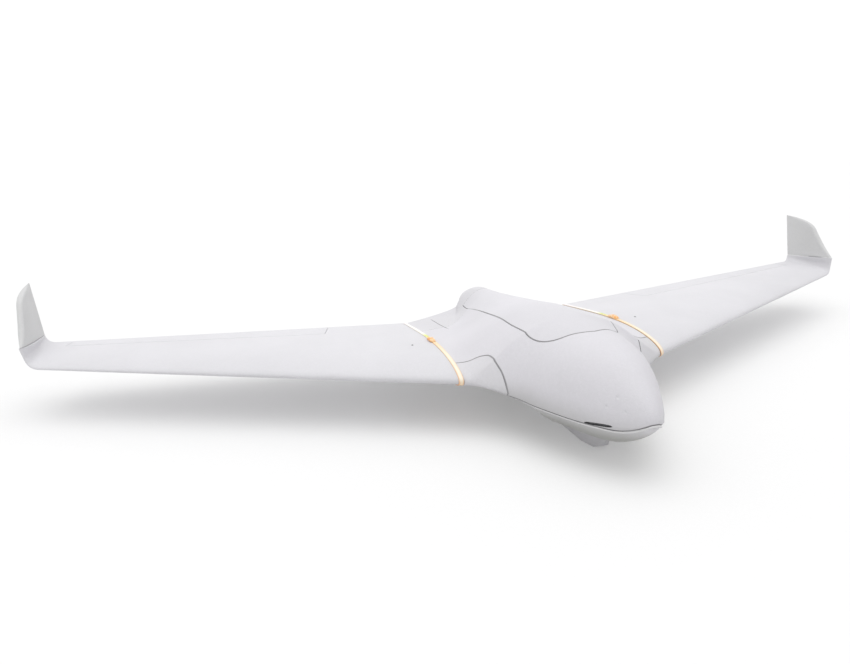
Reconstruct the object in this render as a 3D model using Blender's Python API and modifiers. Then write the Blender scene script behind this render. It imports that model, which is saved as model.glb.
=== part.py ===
"""Swept flying-wing foam drone, built in metres with +Z up, +X to the nose and +Y to the left wing.

Shapes are worked out about the leading edge of the wing root and then placed so that the flat of the
keel lies on z = 0 and the overall length is centred on x = 0.
"""

import math

import bmesh
import bpy
import numpy as np
from mathutils import Matrix, Vector

# Placement of the working axes in the part frame
SHIFT = Vector((0.1538, 0.0, 0.1075))

# Gaps
FIT = 0.0003
SEAM = 0.0004

# Body
NOSE_X = 0.290
TAIL_X = -0.520
JOINT_Y = 0.2105
ROOT_THICK = 0.046
WALL = 0.012
FLOOR_Z = -0.060
KEEL_Z = -0.106
KEEL_HALF = 0.023
SKID = 0.0012

# Wing
TIP_Y = 1.0155
TIP_LE = Vector((-0.385, TIP_Y, 0.010))
TIP_TE = Vector((-0.543, TIP_Y, 0.023))
RIB = 0.002
BAND_WIDTH = 0.009
BAND_THICK = 0.0014

# Winglet
WINGLET_LE = Vector((-0.4030, 1.0485, 0.054))
WINGLET_TE = Vector((-0.5560, 1.0395, 0.040))
WINGLET_TOP = Vector((-0.5970, 1.0600, 0.1555))
WINGLET_GAP = 0.0008
WINGLET_THICK = 0.0150
TONGUE_LENGTH = 0.042
TONGUE_THICK = 0.0020
TONGUE_DEEP = 0.008
TONGUE_HIGH = 0.014

# Elevon and its linkage
HINGE_AT = 0.75
ELEVON_IN_Y = 0.420
ELEVON_OUT_Y = 0.985
BEVEL = math.tan(math.radians(31.0))
ARM = 0.024
SERVO_AHEAD = 0.085
SERVO_DROP = 0.008
SERVO_SIZE = (0.024, 0.023, 0.012)
LINK_AT = 0.190
ROD_R = 0.0008

# Spars
FRONT_SPAR = (-0.150, 0.0050, 0.0060, 0.375)
REAR_SPAR = (-0.290, 0.0045, 0.0040, 0.395)

# Motor, on an axis along the tail
MOTOR_Z = 0.018
MOTOR_PLATE_R = 0.021
STATOR_R = 0.0125
BELL_R = 0.0175
SHAFT_R = 0.0025

# Outline of the body: distance aft of the nose tip against half width
OUTLINE = [
    (0.0, 0.0), (0.008, 0.018), (0.020, 0.030), (0.040, 0.044), (0.070, 0.062), (0.110, 0.084),
    (0.150, 0.102), (0.190, 0.118), (0.212, 0.126), (0.234, 0.138), (0.254, 0.155), (0.274, 0.181),
    (0.292, 0.2105),
]
TAIL_OUTLINE = [
    (-0.434, 0.2105), (-0.450, 0.165), (-0.466, 0.122), (-0.482, 0.085), (-0.496, 0.062),
    (-0.508, 0.051), (-0.520, 0.045),
]
# Height of the crest, depth of the belly, edge height, dome half width and flare against x
CREST = [
    (0.290, 0.003), (0.281, 0.026), (0.262, 0.045), (0.235, 0.063), (0.200, 0.080), (0.150, 0.093),
    (0.080, 0.103), (0.000, 0.106), (-0.100, 0.101), (-0.250, 0.082), (-0.370, 0.069),
    (-0.470, 0.061), (-0.505, 0.057), (-0.520, 0.052),
]
BELLY = [
    (0.290, -0.003), (0.281, -0.015), (0.262, -0.031), (0.235, -0.049), (0.195, -0.067),
    (0.140, -0.076), (0.050, -0.080), (-0.100, -0.080), (-0.200, -0.077), (-0.300, -0.057),
    (-0.370, -0.042), (-0.470, -0.022), (-0.520, -0.016),
]
EDGE = [(0.290, 0.000), (0.250, -0.011), (0.200, -0.018), (0.100, -0.021), (0.060, -0.018),
        (0.030, -0.010), (0.000, -0.001), (-0.430, 0.001), (-0.480, 0.008), (-0.520, MOTOR_Z)]
DOME = [(0.100, 0.122), (0.000, 0.200), (-0.100, 0.205), (-0.250, 0.165), (-0.370, 0.112),
        (-0.460, 0.072), (-0.496, 0.060), (-0.520, 0.0445)]
HULL = [(0.100, 0.118), (0.050, 0.111), (0.000, 0.119), (-0.100, 0.145), (-0.250, 0.125),
        (-0.370, 0.090), (-0.460, 0.066), (-0.496, 0.060), (-0.520, 0.0445)]
FLARE = [(0.130, 0.50), (0.060, 0.85), (0.000, 1.45), (-0.080, 1.80), (-0.400, 1.70), (-0.480, 1.0),
         (-0.520, 0.5)]

SEAM_A = [(0.120, 0.147), (0.075, 0.142), (0.044, 0.1445), (0.027, 0.1465), (0.0158, 0.150),
          (0.0067, 0.1528), (-0.0073, 0.1539), (-0.0189, 0.1561), (-0.0294, 0.1622),
          (-0.0369, 0.1696), (-0.0435, 0.1877), (-0.0514, 0.207), (-0.055, 0.230)]
SEAM_B = [(0.100, 0.000), (0.0955, 0.015), (0.0882, 0.0303), (0.0828, 0.0404), (0.0751, 0.0558),
          (0.0674, 0.0649), (0.0572, 0.0730), (0.0482, 0.0785), (0.0356, 0.0841), (0.0104, 0.0900),
          (-0.0442, 0.0900), (-0.1305, 0.0865), (-0.2532, 0.0772), (-0.307, 0.073), (-0.389, 0.066)]
SHOULDER = [(-0.300, 0.230), (-0.315, 0.1465), (-0.389, 0.0664)]
CANOPY_END = [(-0.455, 0.056)]
PARTING = [(0.35, 0.003), (0.2894, 0.002), (0.2864, -0.0009), (0.2777, -0.0072), (0.267, -0.0128),
           (0.255, -0.0173), (0.243, -0.0200), (0.200, -0.0215), (0.090, -0.022), (0.045, -0.019),
           (-0.015, 0.015), (-0.200, 0.015), (-0.290, 0.0095), (-0.400, 0.003), (-0.600, 0.003)]

parts = bpy.data.collections.new("fixed_wing_drone")
helpers = bpy.data.collections.new("cutters")


def clear_scene():
    for item in list(bpy.data.objects):
        bpy.data.objects.remove(item, do_unlink=True)
    for collection in (parts, helpers):
        bpy.context.scene.collection.children.link(collection)
    helpers.hide_render = True


# ---------------------------------------------------------------- curves and sections


def smooth(points, x):
    """Monotone cubic through the points, flat beyond them."""
    px, py = (np.array(c, float) for c in zip(*sorted(points)))
    step = np.diff(px)
    rise = np.diff(py) / step
    slope = np.zeros(len(px))
    slope[1:-1] = np.where(
        rise[1:] * rise[:-1] > 0, 2 * rise[1:] * rise[:-1] / (rise[1:] + rise[:-1] + 1e-12), 0
    )
    slope[0], slope[-1] = rise[0], rise[-1]
    x = np.clip(np.asarray(x, float), px[0], px[-1])
    i = np.clip(np.searchsorted(px, x) - 1, 0, len(px) - 2)
    t = (x - px[i]) / step[i]
    return (
        (2 * t**3 - 3 * t**2 + 1) * py[i] + (t**3 - 2 * t**2 + t) * step[i] * slope[i]
        + (3 * t**2 - 2 * t**3) * py[i + 1] + (t**3 - t**2) * step[i] * slope[i + 1]
    )


def by_root(points):
    """Measures the points by the square root of the distance from the nose, for a round nose."""
    return [(math.sqrt(max(NOSE_X - x, 0.0)), v) for x, v in points]


FRONT_BY_ROOT = [(math.sqrt(d), w) for d, w in OUTLINE]
CREST_BY_ROOT = by_root(CREST)
BELLY_BY_ROOT = by_root(BELLY)
SIDE_Y = np.linspace(0.0, JOINT_Y, 120)
FRONT_X = np.linspace(NOSE_X, -0.002, 400)


def half_width(x):
    x = np.asarray(x, float)
    front = smooth(FRONT_BY_ROOT, np.sqrt(np.maximum(NOSE_X - x, 0.0)))
    back = smooth(TAIL_OUTLINE, x)
    return np.where(x > -0.2, front, back)


def edge_lines(y):
    """The x of the leading and trailing edges of the body at distance y from its centre."""
    lead = np.interp(y, half_width(FRONT_X), FRONT_X)
    tail_x = np.linspace(-0.434, TAIL_X, 120)
    trail = np.interp(y, half_width(tail_x)[::-1], tail_x[::-1])
    return lead, trail


def foil(s):
    """Heights over and under the chord line of a reflexed section one thick, at chord share s."""
    s = np.clip(np.asarray(s, float), 0.0, 1.0)
    half = 5 * (0.2969 * np.sqrt(s) - 0.1260 * s - 0.3516 * s**2 + 0.2843 * s**3 - 0.1015 * s**4)
    camber = 0.62 * s * (1 - s) * (1.15 - 1.25 * s)
    return camber + half, camber - half


def body_heights(x, y):
    """Top and bottom of the body at x for an array of distances y from its centre."""
    root = math.sqrt(max(NOSE_X - x, 0.0))
    y = np.abs(y)
    lead, trail = edge_lines(y)
    share = np.clip((lead - x) / np.maximum(lead - trail, 0.02), 0.0, 1.0)
    over, under = foil(share)
    fade = float(np.clip((0.16 - x) / 0.12, 0.0, 1.0)) * float(np.clip((x + 0.515) / 0.08, 0.0, 1.0))
    over, under = over * ROOT_THICK * fade, under * ROOT_THICK * fade
    middle_over, middle_under = (float(v[0]) for v in (over[[np.argmin(y)]], under[[np.argmin(y)]]))
    edge = float(smooth(EDGE, x))
    crest = float(smooth(CREST_BY_ROOT, root)) - edge - middle_over
    belly = float(smooth(BELLY_BY_ROOT, root)) - edge - middle_under
    width = float(half_width(x))
    dome = width if x >= 0.100 else min(float(smooth(DOME, x)), width)
    flare = float(smooth(FLARE, x))
    rise = np.clip(1 - (y / max(dome, 1e-6)) ** 2, 0.0, 1.0) ** flare
    hull = width if x >= 0.100 else min(float(smooth(HULL, x)), width)
    sink = np.clip(1 - (y / max(hull, 1e-6)) ** 2, 0.0, 1.0) ** float(np.clip(flare, 0.92, 0.98))
    return edge + over + crest * rise + FIT, edge + under + belly * sink - FIT


def body_stations(count):
    """Stations close together at the nose, round the leading edge of the root and at the tail."""
    nose = NOSE_X - 0.0006 - (np.linspace(0, 1, count) ** 2) * 0.185
    shoulder = np.linspace(0.100, -0.020, count)
    middle = np.linspace(-0.050, -0.434, count)
    tail = np.linspace(-0.446, TAIL_X, count // 2)
    return np.concatenate([nose, shoulder, middle, tail])


def across(count):
    t = np.linspace(-1, 1, count)
    return 0.45 * t + 0.55 * np.sin(t * math.pi / 2)


def loft(name, rings, collection=parts):
    """Closed solid through rings with equal numbers of points, capped at both ends."""
    count = len(rings[0])
    points = [tuple(Vector(p) + SHIFT) for ring in rings for p in ring]
    faces = [tuple(range(count))[::-1]]
    for k in range(len(rings) - 1):
        a, b = k * count, (k + 1) * count
        faces += [(a + i, a + (i + 1) % count, b + (i + 1) % count, b + i) for i in range(count)]
    faces.append(tuple(range((len(rings) - 1) * count, len(rings) * count)))
    return mesh_object(name, points, faces, collection)


def mesh_object(name, points, faces, collection=parts):
    mesh = bpy.data.meshes.new(name)
    mesh.from_pydata(points, [], faces)
    shape = bmesh.new()
    shape.from_mesh(mesh)
    outward(shape)
    shape.to_mesh(mesh)
    shape.free()
    return link(name, mesh, collection)


def link(name, mesh, collection):
    item = bpy.data.objects.new(name, mesh)
    collection.objects.link(item)
    if collection == helpers:
        item.hide_render = True
        item.display_type = "WIRE"
    return item


def body_solid(name, count, width_points):
    t = across(width_points)
    rings = []
    for x in body_stations(count):
        y = t * float(half_width(x))
        top, bottom = body_heights(x, y)
        ring = [(x, a, b) for a, b in zip(y, top)]
        ring += [(x, a, b) for a, b in zip(y[::-1], bottom[::-1])]
        rings.append(ring)
    return loft(name, rings, helpers)


# ---------------------------------------------------------------- solids


PLANES = {
    "z": Matrix.Identity(4),
    "y": Matrix(((1, 0, 0, 0), (0, 0, 1, 0), (0, 1, 0, 0), (0, 0, 0, 1))),
}


def prism(name, outline, low, high, axis="z", collection=helpers):
    """Extrudes an outline of x and y along z, or one of x and z along y."""
    return extruded(name, outline, low, high, Matrix.Translation(SHIFT) @ PLANES[axis], collection)


def extruded(name, outline, low, high, frame, collection):
    """A filled flat curve, extruded from low to high along the third axis of a frame."""
    curve = bpy.data.curves.new(name, "CURVE")
    curve.dimensions = "2D"
    curve.fill_mode = "BOTH"
    curve.extrude = (high - low) / 2
    line = curve.splines.new("POLY")
    line.points.add(len(outline) - 1)
    for point, (a, b) in zip(line.points, outline):
        point.co = (a, b, 0.0, 1.0)
    line.use_cyclic_u = True
    place = frame @ Matrix.Translation((0.0, 0.0, (low + high) / 2))
    return meshed(name, curve, place, collection)


def meshed(name, curve, place, collection):
    """Turns a curve into a mesh object with its caps welded on."""
    source = bpy.data.objects.new(name, curve)
    helpers.objects.link(source)
    mesh = bpy.data.meshes.new_from_object(source.evaluated_get(bpy.context.evaluated_depsgraph_get()))
    bpy.data.objects.remove(source, do_unlink=True)
    mesh.name = name
    mesh.transform(place)
    shape = bmesh.new()
    shape.from_mesh(mesh)
    bmesh.ops.remove_doubles(shape, verts=shape.verts, dist=1e-6)
    outward(shape)
    shape.to_mesh(mesh)
    shape.free()
    return link(name, mesh, collection)


def outward(shape):
    bmesh.ops.recalc_face_normals(shape, faces=shape.faces)
    if shape.calc_volume(signed=True) < 0:
        bmesh.ops.reverse_faces(shape, faces=shape.faces)


def block(name, low, high, frame, collection):
    """A cube stretched between two corners given in a frame."""
    size = Vector(high) - Vector(low)
    middle = (Vector(high) + Vector(low)) / 2
    place = frame @ Matrix.Translation(middle) @ Matrix.Diagonal((*size, 1))
    shape = bmesh.new()
    bmesh.ops.create_cube(shape, size=1.0, matrix=place)
    outward(shape)
    mesh = bpy.data.meshes.new(name)
    shape.to_mesh(mesh)
    shape.free()
    return link(name, mesh, collection)


def box(name, low, high, collection=helpers):
    return block(name, low, high, Matrix.Translation(SHIFT), collection)


def cylinder(name, radius, length, count, place, collection):
    shape = bmesh.new()
    bmesh.ops.create_cone(shape, cap_ends=True, segments=count, radius1=radius, radius2=radius,
                          depth=length, matrix=place)
    outward(shape)
    mesh = bpy.data.meshes.new(name)
    shape.to_mesh(mesh)
    shape.free()
    return link(name, mesh, collection)


def rod(name, centre, radius, low, high, axis, count=20, collection=parts):
    """A cylinder along z or y; centre is its place in the plane across it."""
    place = Matrix.Translation(SHIFT) @ PLANES[axis]
    place = place @ Matrix.Translation((*centre, (low + high) / 2))
    return cylinder(name, radius, high - low, count, place, collection)


def baked(item):
    """Applies the object's modifiers to its mesh."""
    graph = bpy.context.evaluated_depsgraph_get()
    mesh = bpy.data.meshes.new_from_object(item.evaluated_get(graph))
    item.modifiers.clear()
    item.data = mesh
    return item


def boolean(item, operation, *cutters):
    for cutter in cutters:
        modifier = item.modifiers.new(operation.lower(), "BOOLEAN")
        modifier.operation = operation
        modifier.solver = "EXACT"
        modifier.object = cutter
    baked(item)
    clean(item)
    return item


def clean(item):
    """Merges doubled points and dissolves slivers left by a cut."""
    shape = bmesh.new()
    shape.from_mesh(item.data)
    bmesh.ops.remove_doubles(shape, verts=shape.verts, dist=2e-6)
    bmesh.ops.dissolve_degenerate(shape, edges=shape.edges, dist=2e-6)
    shape.to_mesh(item.data)
    shape.free()


def copy_of(item, name, collection=parts):
    twin = item.copy()
    twin.data = item.data.copy()
    twin.name = name
    twin.data.name = name
    twin.hide_render = collection == helpers
    twin.display_type = "WIRE" if collection == helpers else "TEXTURED"
    collection.objects.link(twin)
    return twin


def mirrored(item, name, collection=parts):
    """A copy on the other side of the centre plane, with its origin mirrored too."""
    twin = copy_of(item, name, collection)
    twin.location = (item.location.x, -item.location.y, item.location.z)
    for vertex in twin.data.vertices:
        vertex.co.y = -vertex.co.y
    twin.data.flip_normals()
    return twin


def set_origin(item, point):
    """Moves the object's origin to a point in working axes without moving its shape."""
    offset = Vector(point) + SHIFT - item.location
    item.data.transform(Matrix.Translation(-offset))
    item.location = item.location + offset


def both_sides(outline):
    return outline + [(x, -y) for x, y in reversed(outline) if abs(y) > 1e-9]


# ---------------------------------------------------------------- body


def build_body():
    outer = body_solid("outer", 15, 27)
    boolean(outer, "UNION", keel_solid())
    bay = bay_solid()

    hatch = copy_of(outer, "hatch")
    boolean(hatch, "INTERSECT", hatch_prism(0.0), over_parting(0.0))
    boolean(hatch, "DIFFERENCE", bay)

    canopy = copy_of(outer, "canopy")
    boolean(canopy, "INTERSECT", canopy_prism(-SEAM), over_parting(0.0))
    boolean(canopy, "DIFFERENCE", bay)

    tray = copy_of(outer, "fuselage_tray")
    room = hatch_prism(SEAM)
    boolean(room, "UNION", canopy_prism(SEAM))
    boolean(room, "INTERSECT", over_parting(-SEAM))
    boolean(tray, "DIFFERENCE", room)
    boolean(tray, "DIFFERENCE", bay)
    return tray, hatch, canopy


def hatch_prism(grow):
    """Plan outline of the hatch: out to the wing joints, and round the front of the canopy."""
    half = [(0.34, 0.16)]
    half += [(x, y + grow) if k < 8 else (x + grow, y) for k, (x, y) in enumerate(SEAM_A)]
    half += [(x - grow, y) for x, y in SHOULDER[:2]]
    half += [SHOULDER[2], *reversed(SEAM_B[1:])]
    return prism("hatch_plan", [*half, SEAM_B[0], *[(x, -y) for x, y in reversed(half)]], -0.2, 0.3)


def canopy_prism(grow):
    half = [(x + grow if y < 0.07 else x, y + grow if y > 0.04 else y) for x, y in SEAM_B]
    half += [(x - max(grow, 0.0), y + grow) for x, y in CANOPY_END]
    outline = half + [(x, -y) for x, y in reversed(half) if abs(y) > 1e-6]
    return prism("canopy_plan", outline, -0.2, 0.3)


def over_parting(shift):
    outline = [(x, z + shift) for x, z in PARTING]
    return prism("over_parting", [*outline, (-0.6, 0.3), (0.35, 0.3)], -0.3, 0.3, "y")


def keel_solid():
    """Boat-shaped keel with a flat foot, standing out of the belly."""
    rings = []
    for x, foot, half, reach, top in (
        (0.157, -0.085, 0.004, 0.012, -0.045), (0.144, -0.100, 0.009, 0.020, -0.045),
        (0.131, KEEL_Z, 0.015, 0.027, -0.045), (0.101, KEEL_Z, KEEL_HALF, 0.031, -0.045),
        (-0.240, KEEL_Z, KEEL_HALF, 0.034, -0.045), (-0.290, -0.092, 0.016, 0.029, -0.040),
        (-0.340, -0.056, 0.010, 0.020, -0.036),
    ):
        rings.append([(x, -reach, top), (x, -half, foot), (x, half, foot), (x, reach, top)])
    return loft("keel", rings, helpers)


def bay_solid():
    """The hollow inside the foam: a wall all round, a flat floor, and narrower towards both ends."""
    rings = []
    t = np.linspace(-1, 1, 13)
    for x in (0.240, 0.218, 0.190, 0.150, 0.090, 0.020, -0.060, -0.150, -0.240, -0.320, -0.405):
        wide = min(float(half_width(x)) - 0.016, 0.078, 0.110 + 0.185 * x if x < 0.0 else 1.0)
        y = t * max(wide, 0.020)
        top, bottom = body_heights(x, y)
        top = top - WALL
        bottom = np.maximum(bottom + WALL, FLOOR_Z)
        rings.append([(x, a, b) for a, b in zip(y, top)] + [(x, a, b) for a, b in zip(y[::-1], bottom[::-1])])
    return loft("bay", rings, helpers)


# ---------------------------------------------------------------- wing


SHARES = 0.5 - 0.5 * np.cos(np.linspace(0, math.pi, 13))


def lerp(a, b, t):
    return a + (b - a) * t


def foil_ring(lead, trail, up, thick):
    """Closed section from the trailing edge over the top to the leading edge and back below."""
    shares = SHARES
    over, under = foil(shares)
    edge = 0.0005 * shares
    chord = trail - lead
    top = [lead + chord * s + up * (h * thick + e) for s, h, e in zip(shares, over, edge)]
    low = [lead + chord * s + up * (h * thick - e) for s, h, e in zip(shares, under, edge)]
    return [p.copy() for p in reversed(top)] + [p.copy() for p in low[1:]]


ROOT_LE = Vector((-0.002, JOINT_Y, 0.0))
ROOT_TE = Vector((-0.434, JOINT_Y, 0.001))
TIP_THICK = 0.0155
WINGLET_LEAN = math.radians(83.0)


def wing_frame(y):
    t = (y - JOINT_Y) / (TIP_Y - JOINT_Y)
    return lerp(ROOT_LE, TIP_LE, t), lerp(ROOT_TE, TIP_TE, t), lerp(ROOT_THICK, TIP_THICK, t)


def bezier(a, b, c, d, t):
    return a * (1 - t) ** 3 + b * (3 * t * (1 - t) ** 2) + c * (3 * t * t * (1 - t)) + d * t**3


def wing_rings(start):
    rings = []
    for y in (start, 0.30, 0.45, 0.62, 0.80, 0.985, TIP_Y):
        lead, trail, thick = wing_frame(y)
        rings.append(foil_ring(lead, trail, Vector((0, 0, 1)), thick))
    rise = Vector((0, math.cos(WINGLET_LEAN), math.sin(WINGLET_LEAN)))
    for t in (0.22, 0.42, 0.62, 0.82, 1.0):
        lead = bezier(TIP_LE, TIP_LE + Vector((-0.010, 0.026, 0.0)), WINGLET_LE - rise * 0.030,
                      WINGLET_LE, t)
        trail = bezier(TIP_TE, TIP_TE + Vector((-0.004, 0.014, 0.0)), WINGLET_TE - rise * 0.010,
                       WINGLET_TE, t)
        lean = WINGLET_LEAN * t * t * (3 - 2 * t)
        up = Vector((0, -math.sin(lean), math.cos(lean)))
        rings.append(foil_ring(lead, trail, up, lerp(TIP_THICK, WINGLET_THICK, t)))
    return rings


def winglet_solid():
    up = Vector((0, -math.sin(WINGLET_LEAN), math.cos(WINGLET_LEAN)))
    rise = Vector((0, math.cos(WINGLET_LEAN), math.sin(WINGLET_LEAN)))
    top_lead = Vector((-0.588, WINGLET_TOP.y, WINGLET_TOP.z))
    front = [(0.0, WINGLET_LE.x), (0.25, -0.436), (0.60, -0.474), (0.78, -0.493), (0.90, -0.524),
             (0.97, -0.562), (1.0, top_lead.x)]
    rings = []
    for f in (0.0, 0.25, 0.50, 0.68, 0.80, 0.89, 0.95, 1.0):
        lead = lerp(WINGLET_LE, top_lead, f)
        lead.x = float(smooth(front, f))
        trail = lerp(WINGLET_TE, WINGLET_TOP, f)
        thick = min(lerp(WINGLET_THICK, 0.0100, f), 0.15 * (lead - trail).length)
        rings.append(foil_ring(lead + rise * WINGLET_GAP, trail + rise * WINGLET_GAP, up, thick))
    return loft("winglet_left", rings)


def hinge_frame():
    """Origin, and directions along the hinge, aft of it and up, on the upper skin of the wing."""
    ends = []
    for y in (ELEVON_IN_Y, ELEVON_OUT_Y):
        lead, trail, thick = wing_frame(y)
        over = float(foil(HINGE_AT)[0])
        ends.append(lerp(lead, trail, HINGE_AT) + Vector((0, 0, over * thick)))
    along = (ends[1] - ends[0]).normalized()
    aft = Vector((-1, 0, 0))
    aft = (aft - along * aft.dot(along)).normalized()
    up = aft.cross(along).normalized()
    if up.z < 0:
        up.negate()
    return ends[0], along, aft, up, (ends[1] - ends[0]).length


HINGE, ALONG, AFT, UP, SPAN = hinge_frame()
ARM_TOP = HINGE + ALONG * LINK_AT - AFT * SERVO_AHEAD - UP * SERVO_DROP
ARM_END = ARM_TOP - UP * ARM
HORN_END = HINGE + ALONG * LINK_AT - UP * ARM


def local(a, b, c):
    """A point from distances along the hinge, aft of it and above it."""
    return HINGE + ALONG * a + AFT * b + UP * c


def skin_below(a, b):
    """Height of the lower skin above the hinge line, at a distance along it and aft of it."""
    place = local(a, b, 0.0)
    lead, trail, thick = wing_frame(place.y)
    share = (lead.x - place.x) / (lead.x - trail.x)
    skin = lerp(lead.z, trail.z, share) + float(foil(share)[1]) * thick - 0.0005 * share
    return skin - place.z


def hinge_matrix():
    """Maps (aft, up, along) to the part frame."""
    axes = Matrix((AFT, UP, ALONG)).transposed().to_4x4()
    return Matrix.Translation(HINGE + SHIFT) @ axes


def hinge_prism(name, outline, low, high, collection=helpers):
    """Extrudes an outline of (aft, up) along the hinge."""
    return extruded(name, outline, low, high, hinge_matrix(), collection)


def hinge_box(name, a, b, c, collection=helpers):
    return block(name, (b[0], c[0], a[0]), (b[1], c[1], a[1]), hinge_matrix(), collection)


def spar_cutters(grow):
    cutters = []
    for x, z, radius, reach in (FRONT_SPAR, REAR_SPAR):
        room = rod("spar_room", (x, z), radius + grow, -reach - 0.001, reach + 0.001, "y", 20, helpers)
        cutters.append(room)
    return cutters


def build_wing():
    whole = loft("wing_whole", wing_rings(JOINT_Y + 2 * FIT + RIB), helpers)
    rib_rings = []
    for y in (JOINT_Y + FIT, JOINT_Y + FIT + RIB):
        lead, trail, thick = wing_frame(y)
        rib_rings.append(foil_ring(lead, trail, Vector((0, 0, 1)), thick))
    rib = loft("root_rib_left", rib_rings)
    boolean(rib, "DIFFERENCE", *spar_cutters(FIT))

    elevon = copy_of(whole, "elevon_left")
    wedge = [(0.0, 0.02), (0.0, 0.0), (0.040 * BEVEL, -0.040), (0.2, -0.040), (0.2, 0.02)]
    boolean(elevon, "INTERSECT", hinge_prism("elevon_wedge", wedge, 0.0, SPAN))

    panel = copy_of(whole, "wing_left")
    space = hinge_box("elevon_space", (-0.0008, SPAN + 0.0008), (-FIT, 0.3), (-0.06, 0.04))
    boolean(panel, "DIFFERENCE", space, *spar_cutters(FIT))
    length, wide, deep = SERVO_SIZE
    a0, b0, c0 = LINK_AT, -SERVO_AHEAD, -SERVO_DROP
    pocket = hinge_box("servo_pocket", (a0 - 0.0283, a0 + 0.0050), (b0 - 0.0140, b0 + 0.0185),
                       (-0.06, c0 + deep / 2 + FIT))
    skin = max(skin_below(a0, b0 - 0.018), skin_below(a0, b0 + 0.022)) + 0.0008
    recess = hinge_box("cover_recess", (a0 - 0.0323, a0 + 0.0093), (b0 - 0.0183, b0 + 0.0223),
                       (-0.06, skin))
    boolean(panel, "DIFFERENCE", pocket, recess)

    cover = hinge_box("servo_cover_left", (a0 - 0.0320, a0 + 0.0090), (b0 - 0.0180, b0 + 0.0220),
                      (skin - FIT - 0.0012, skin - FIT), parts)
    slot = hinge_box("arm_slot", (a0 - 0.0022, a0 + 0.0036), (b0 - 0.0125, b0 + 0.0125),
                     (skin - 0.01, skin + 0.01))
    boolean(cover, "DIFFERENCE", slot)

    servo = hinge_box("servo_left", (a0 - 0.0280, a0 - 0.0280 + length), (b0 - 0.0060, b0 + 0.0170),
                      (c0 - deep / 2, c0 + deep / 2), parts)

    arm = [(b0 - 0.0040, c0 + 0.0035), (b0 - 0.0040, c0), (b0 - 0.0024, c0 - ARM - 0.0024),
           (b0 + 0.0024, c0 - ARM - 0.0024), (b0 + 0.0040, c0), (b0 + 0.0040, c0 + 0.0035)]
    servo_arm = hinge_prism("servo_arm_left", arm, a0 - 0.0008, a0 + 0.0008, parts)
    root, end = (skin_below(a0, b) - FIT for b in (0.0115, 0.0260))
    horn = [(0.0115, root), (-0.0026, -ARM + 0.0022), (-0.0026, -ARM - 0.0026), (0.0030, -ARM - 0.0026),
            (0.0260, end - 0.0020), (0.0260, end)]
    control_horn = hinge_prism("control_horn_left", horn, a0 - 0.0008, a0 + 0.0008, parts)
    for item, b, c in ((servo_arm, b0, c0 - ARM), (control_horn, 0.0, -ARM)):
        place = hinge_matrix() @ Matrix.Translation((b, c, a0))
        boolean(item, "DIFFERENCE", cylinder("eye", ROD_R + FIT, 0.02, 10, place, helpers))
    pushrod = push_rod(a0, b0, c0)

    winglet = winglet_solid()
    tongue = build_tongue(panel, winglet)
    band, clip = build_band()
    for item, origin in ((elevon, HINGE), (control_horn, HINGE), (servo_arm, ARM_TOP),
                         (pushrod, ARM_END)):
        set_origin(item, origin)
    return [panel, rib, band, clip, winglet, tongue, elevon, control_horn, servo, cover, servo_arm,
            pushrod]


def push_rod(a0, b0, c0):
    """Wire with a right-angle bend at each end, through the eyes of the arm and the horn."""
    side = a0 + 0.0026
    end = a0 - 0.0022
    path = [(end, b0, c0 - ARM), (side, b0, c0 - ARM), (side, 0.0, -ARM), (end, 0.0, -ARM)]
    curve = bpy.data.curves.new("pushrod_left", "CURVE")
    curve.dimensions = "3D"
    curve.bevel_depth = ROD_R
    curve.bevel_resolution = 1
    curve.use_fill_caps = True
    line = curve.splines.new("POLY")
    line.points.add(len(path) - 1)
    for point, place in zip(line.points, path):
        point.co = (*(local(*place) + SHIFT), 1.0)
    return meshed("pushrod_left", curve, Matrix.Identity(4), parts)


def build_tongue(panel, winglet):
    """Flat tongue fixed in the winglet that plugs into a slot in the turned-up wing tip."""
    rise = Vector((0, math.cos(WINGLET_LEAN), math.sin(WINGLET_LEAN)))
    up = Vector((0, -math.sin(WINGLET_LEAN), math.cos(WINGLET_LEAN)))
    chord = (WINGLET_TE - WINGLET_LE).normalized()
    middle = lerp(WINGLET_LE, WINGLET_TE, 0.36) + up * 0.0006

    def plate(name, grow, deep, high, collection):
        half, side = TONGUE_LENGTH / 2 + grow, TONGUE_THICK / 2 + grow
        section = [(-half, -side), (half, -side), (half, side), (-half, side)]
        rings = [[middle + rise * h + chord * a + up * b for a, b in section] for h in (-deep, high)]
        return loft(name, rings, collection)

    tongue = plate("winglet_tongue_left", 0.0, TONGUE_DEEP, TONGUE_HIGH, parts)
    room = plate("tongue_room", FIT + 0.0001, TONGUE_DEEP + 0.0004, TONGUE_HIGH + 0.0004, helpers)
    boolean(panel, "DIFFERENCE", room)
    boolean(winglet, "DIFFERENCE", room)
    return tongue


def band_path(y, gap, shares_top, shares_low):
    lead, trail, thick = wing_frame(y)
    up = Vector((0, 0, 1))
    chord = trail - lead
    points = []
    for shares, side in ((shares_top, 0), (shares_low, 1)):
        for s in shares:
            sign = 1 - 2 * side
            h = [float(foil(v)[side]) * thick for v in (s - 0.003, s + 0.003)]
            slope = Vector((chord.x * 0.006, 0, h[1] - h[0])).normalized()
            normal = Vector((-slope.z, 0, slope.x)) * (-sign)
            if s < 0.001:
                normal = Vector((1, 0, 0))
            elif s < 0.03:
                normal = Vector((0.75, 0, 0.66 * sign))
            height = float(foil(s)[side]) * thick + sign * 0.0005 * s
            points.append(lead + chord * s + up * height + normal * gap)
    return points


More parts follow.
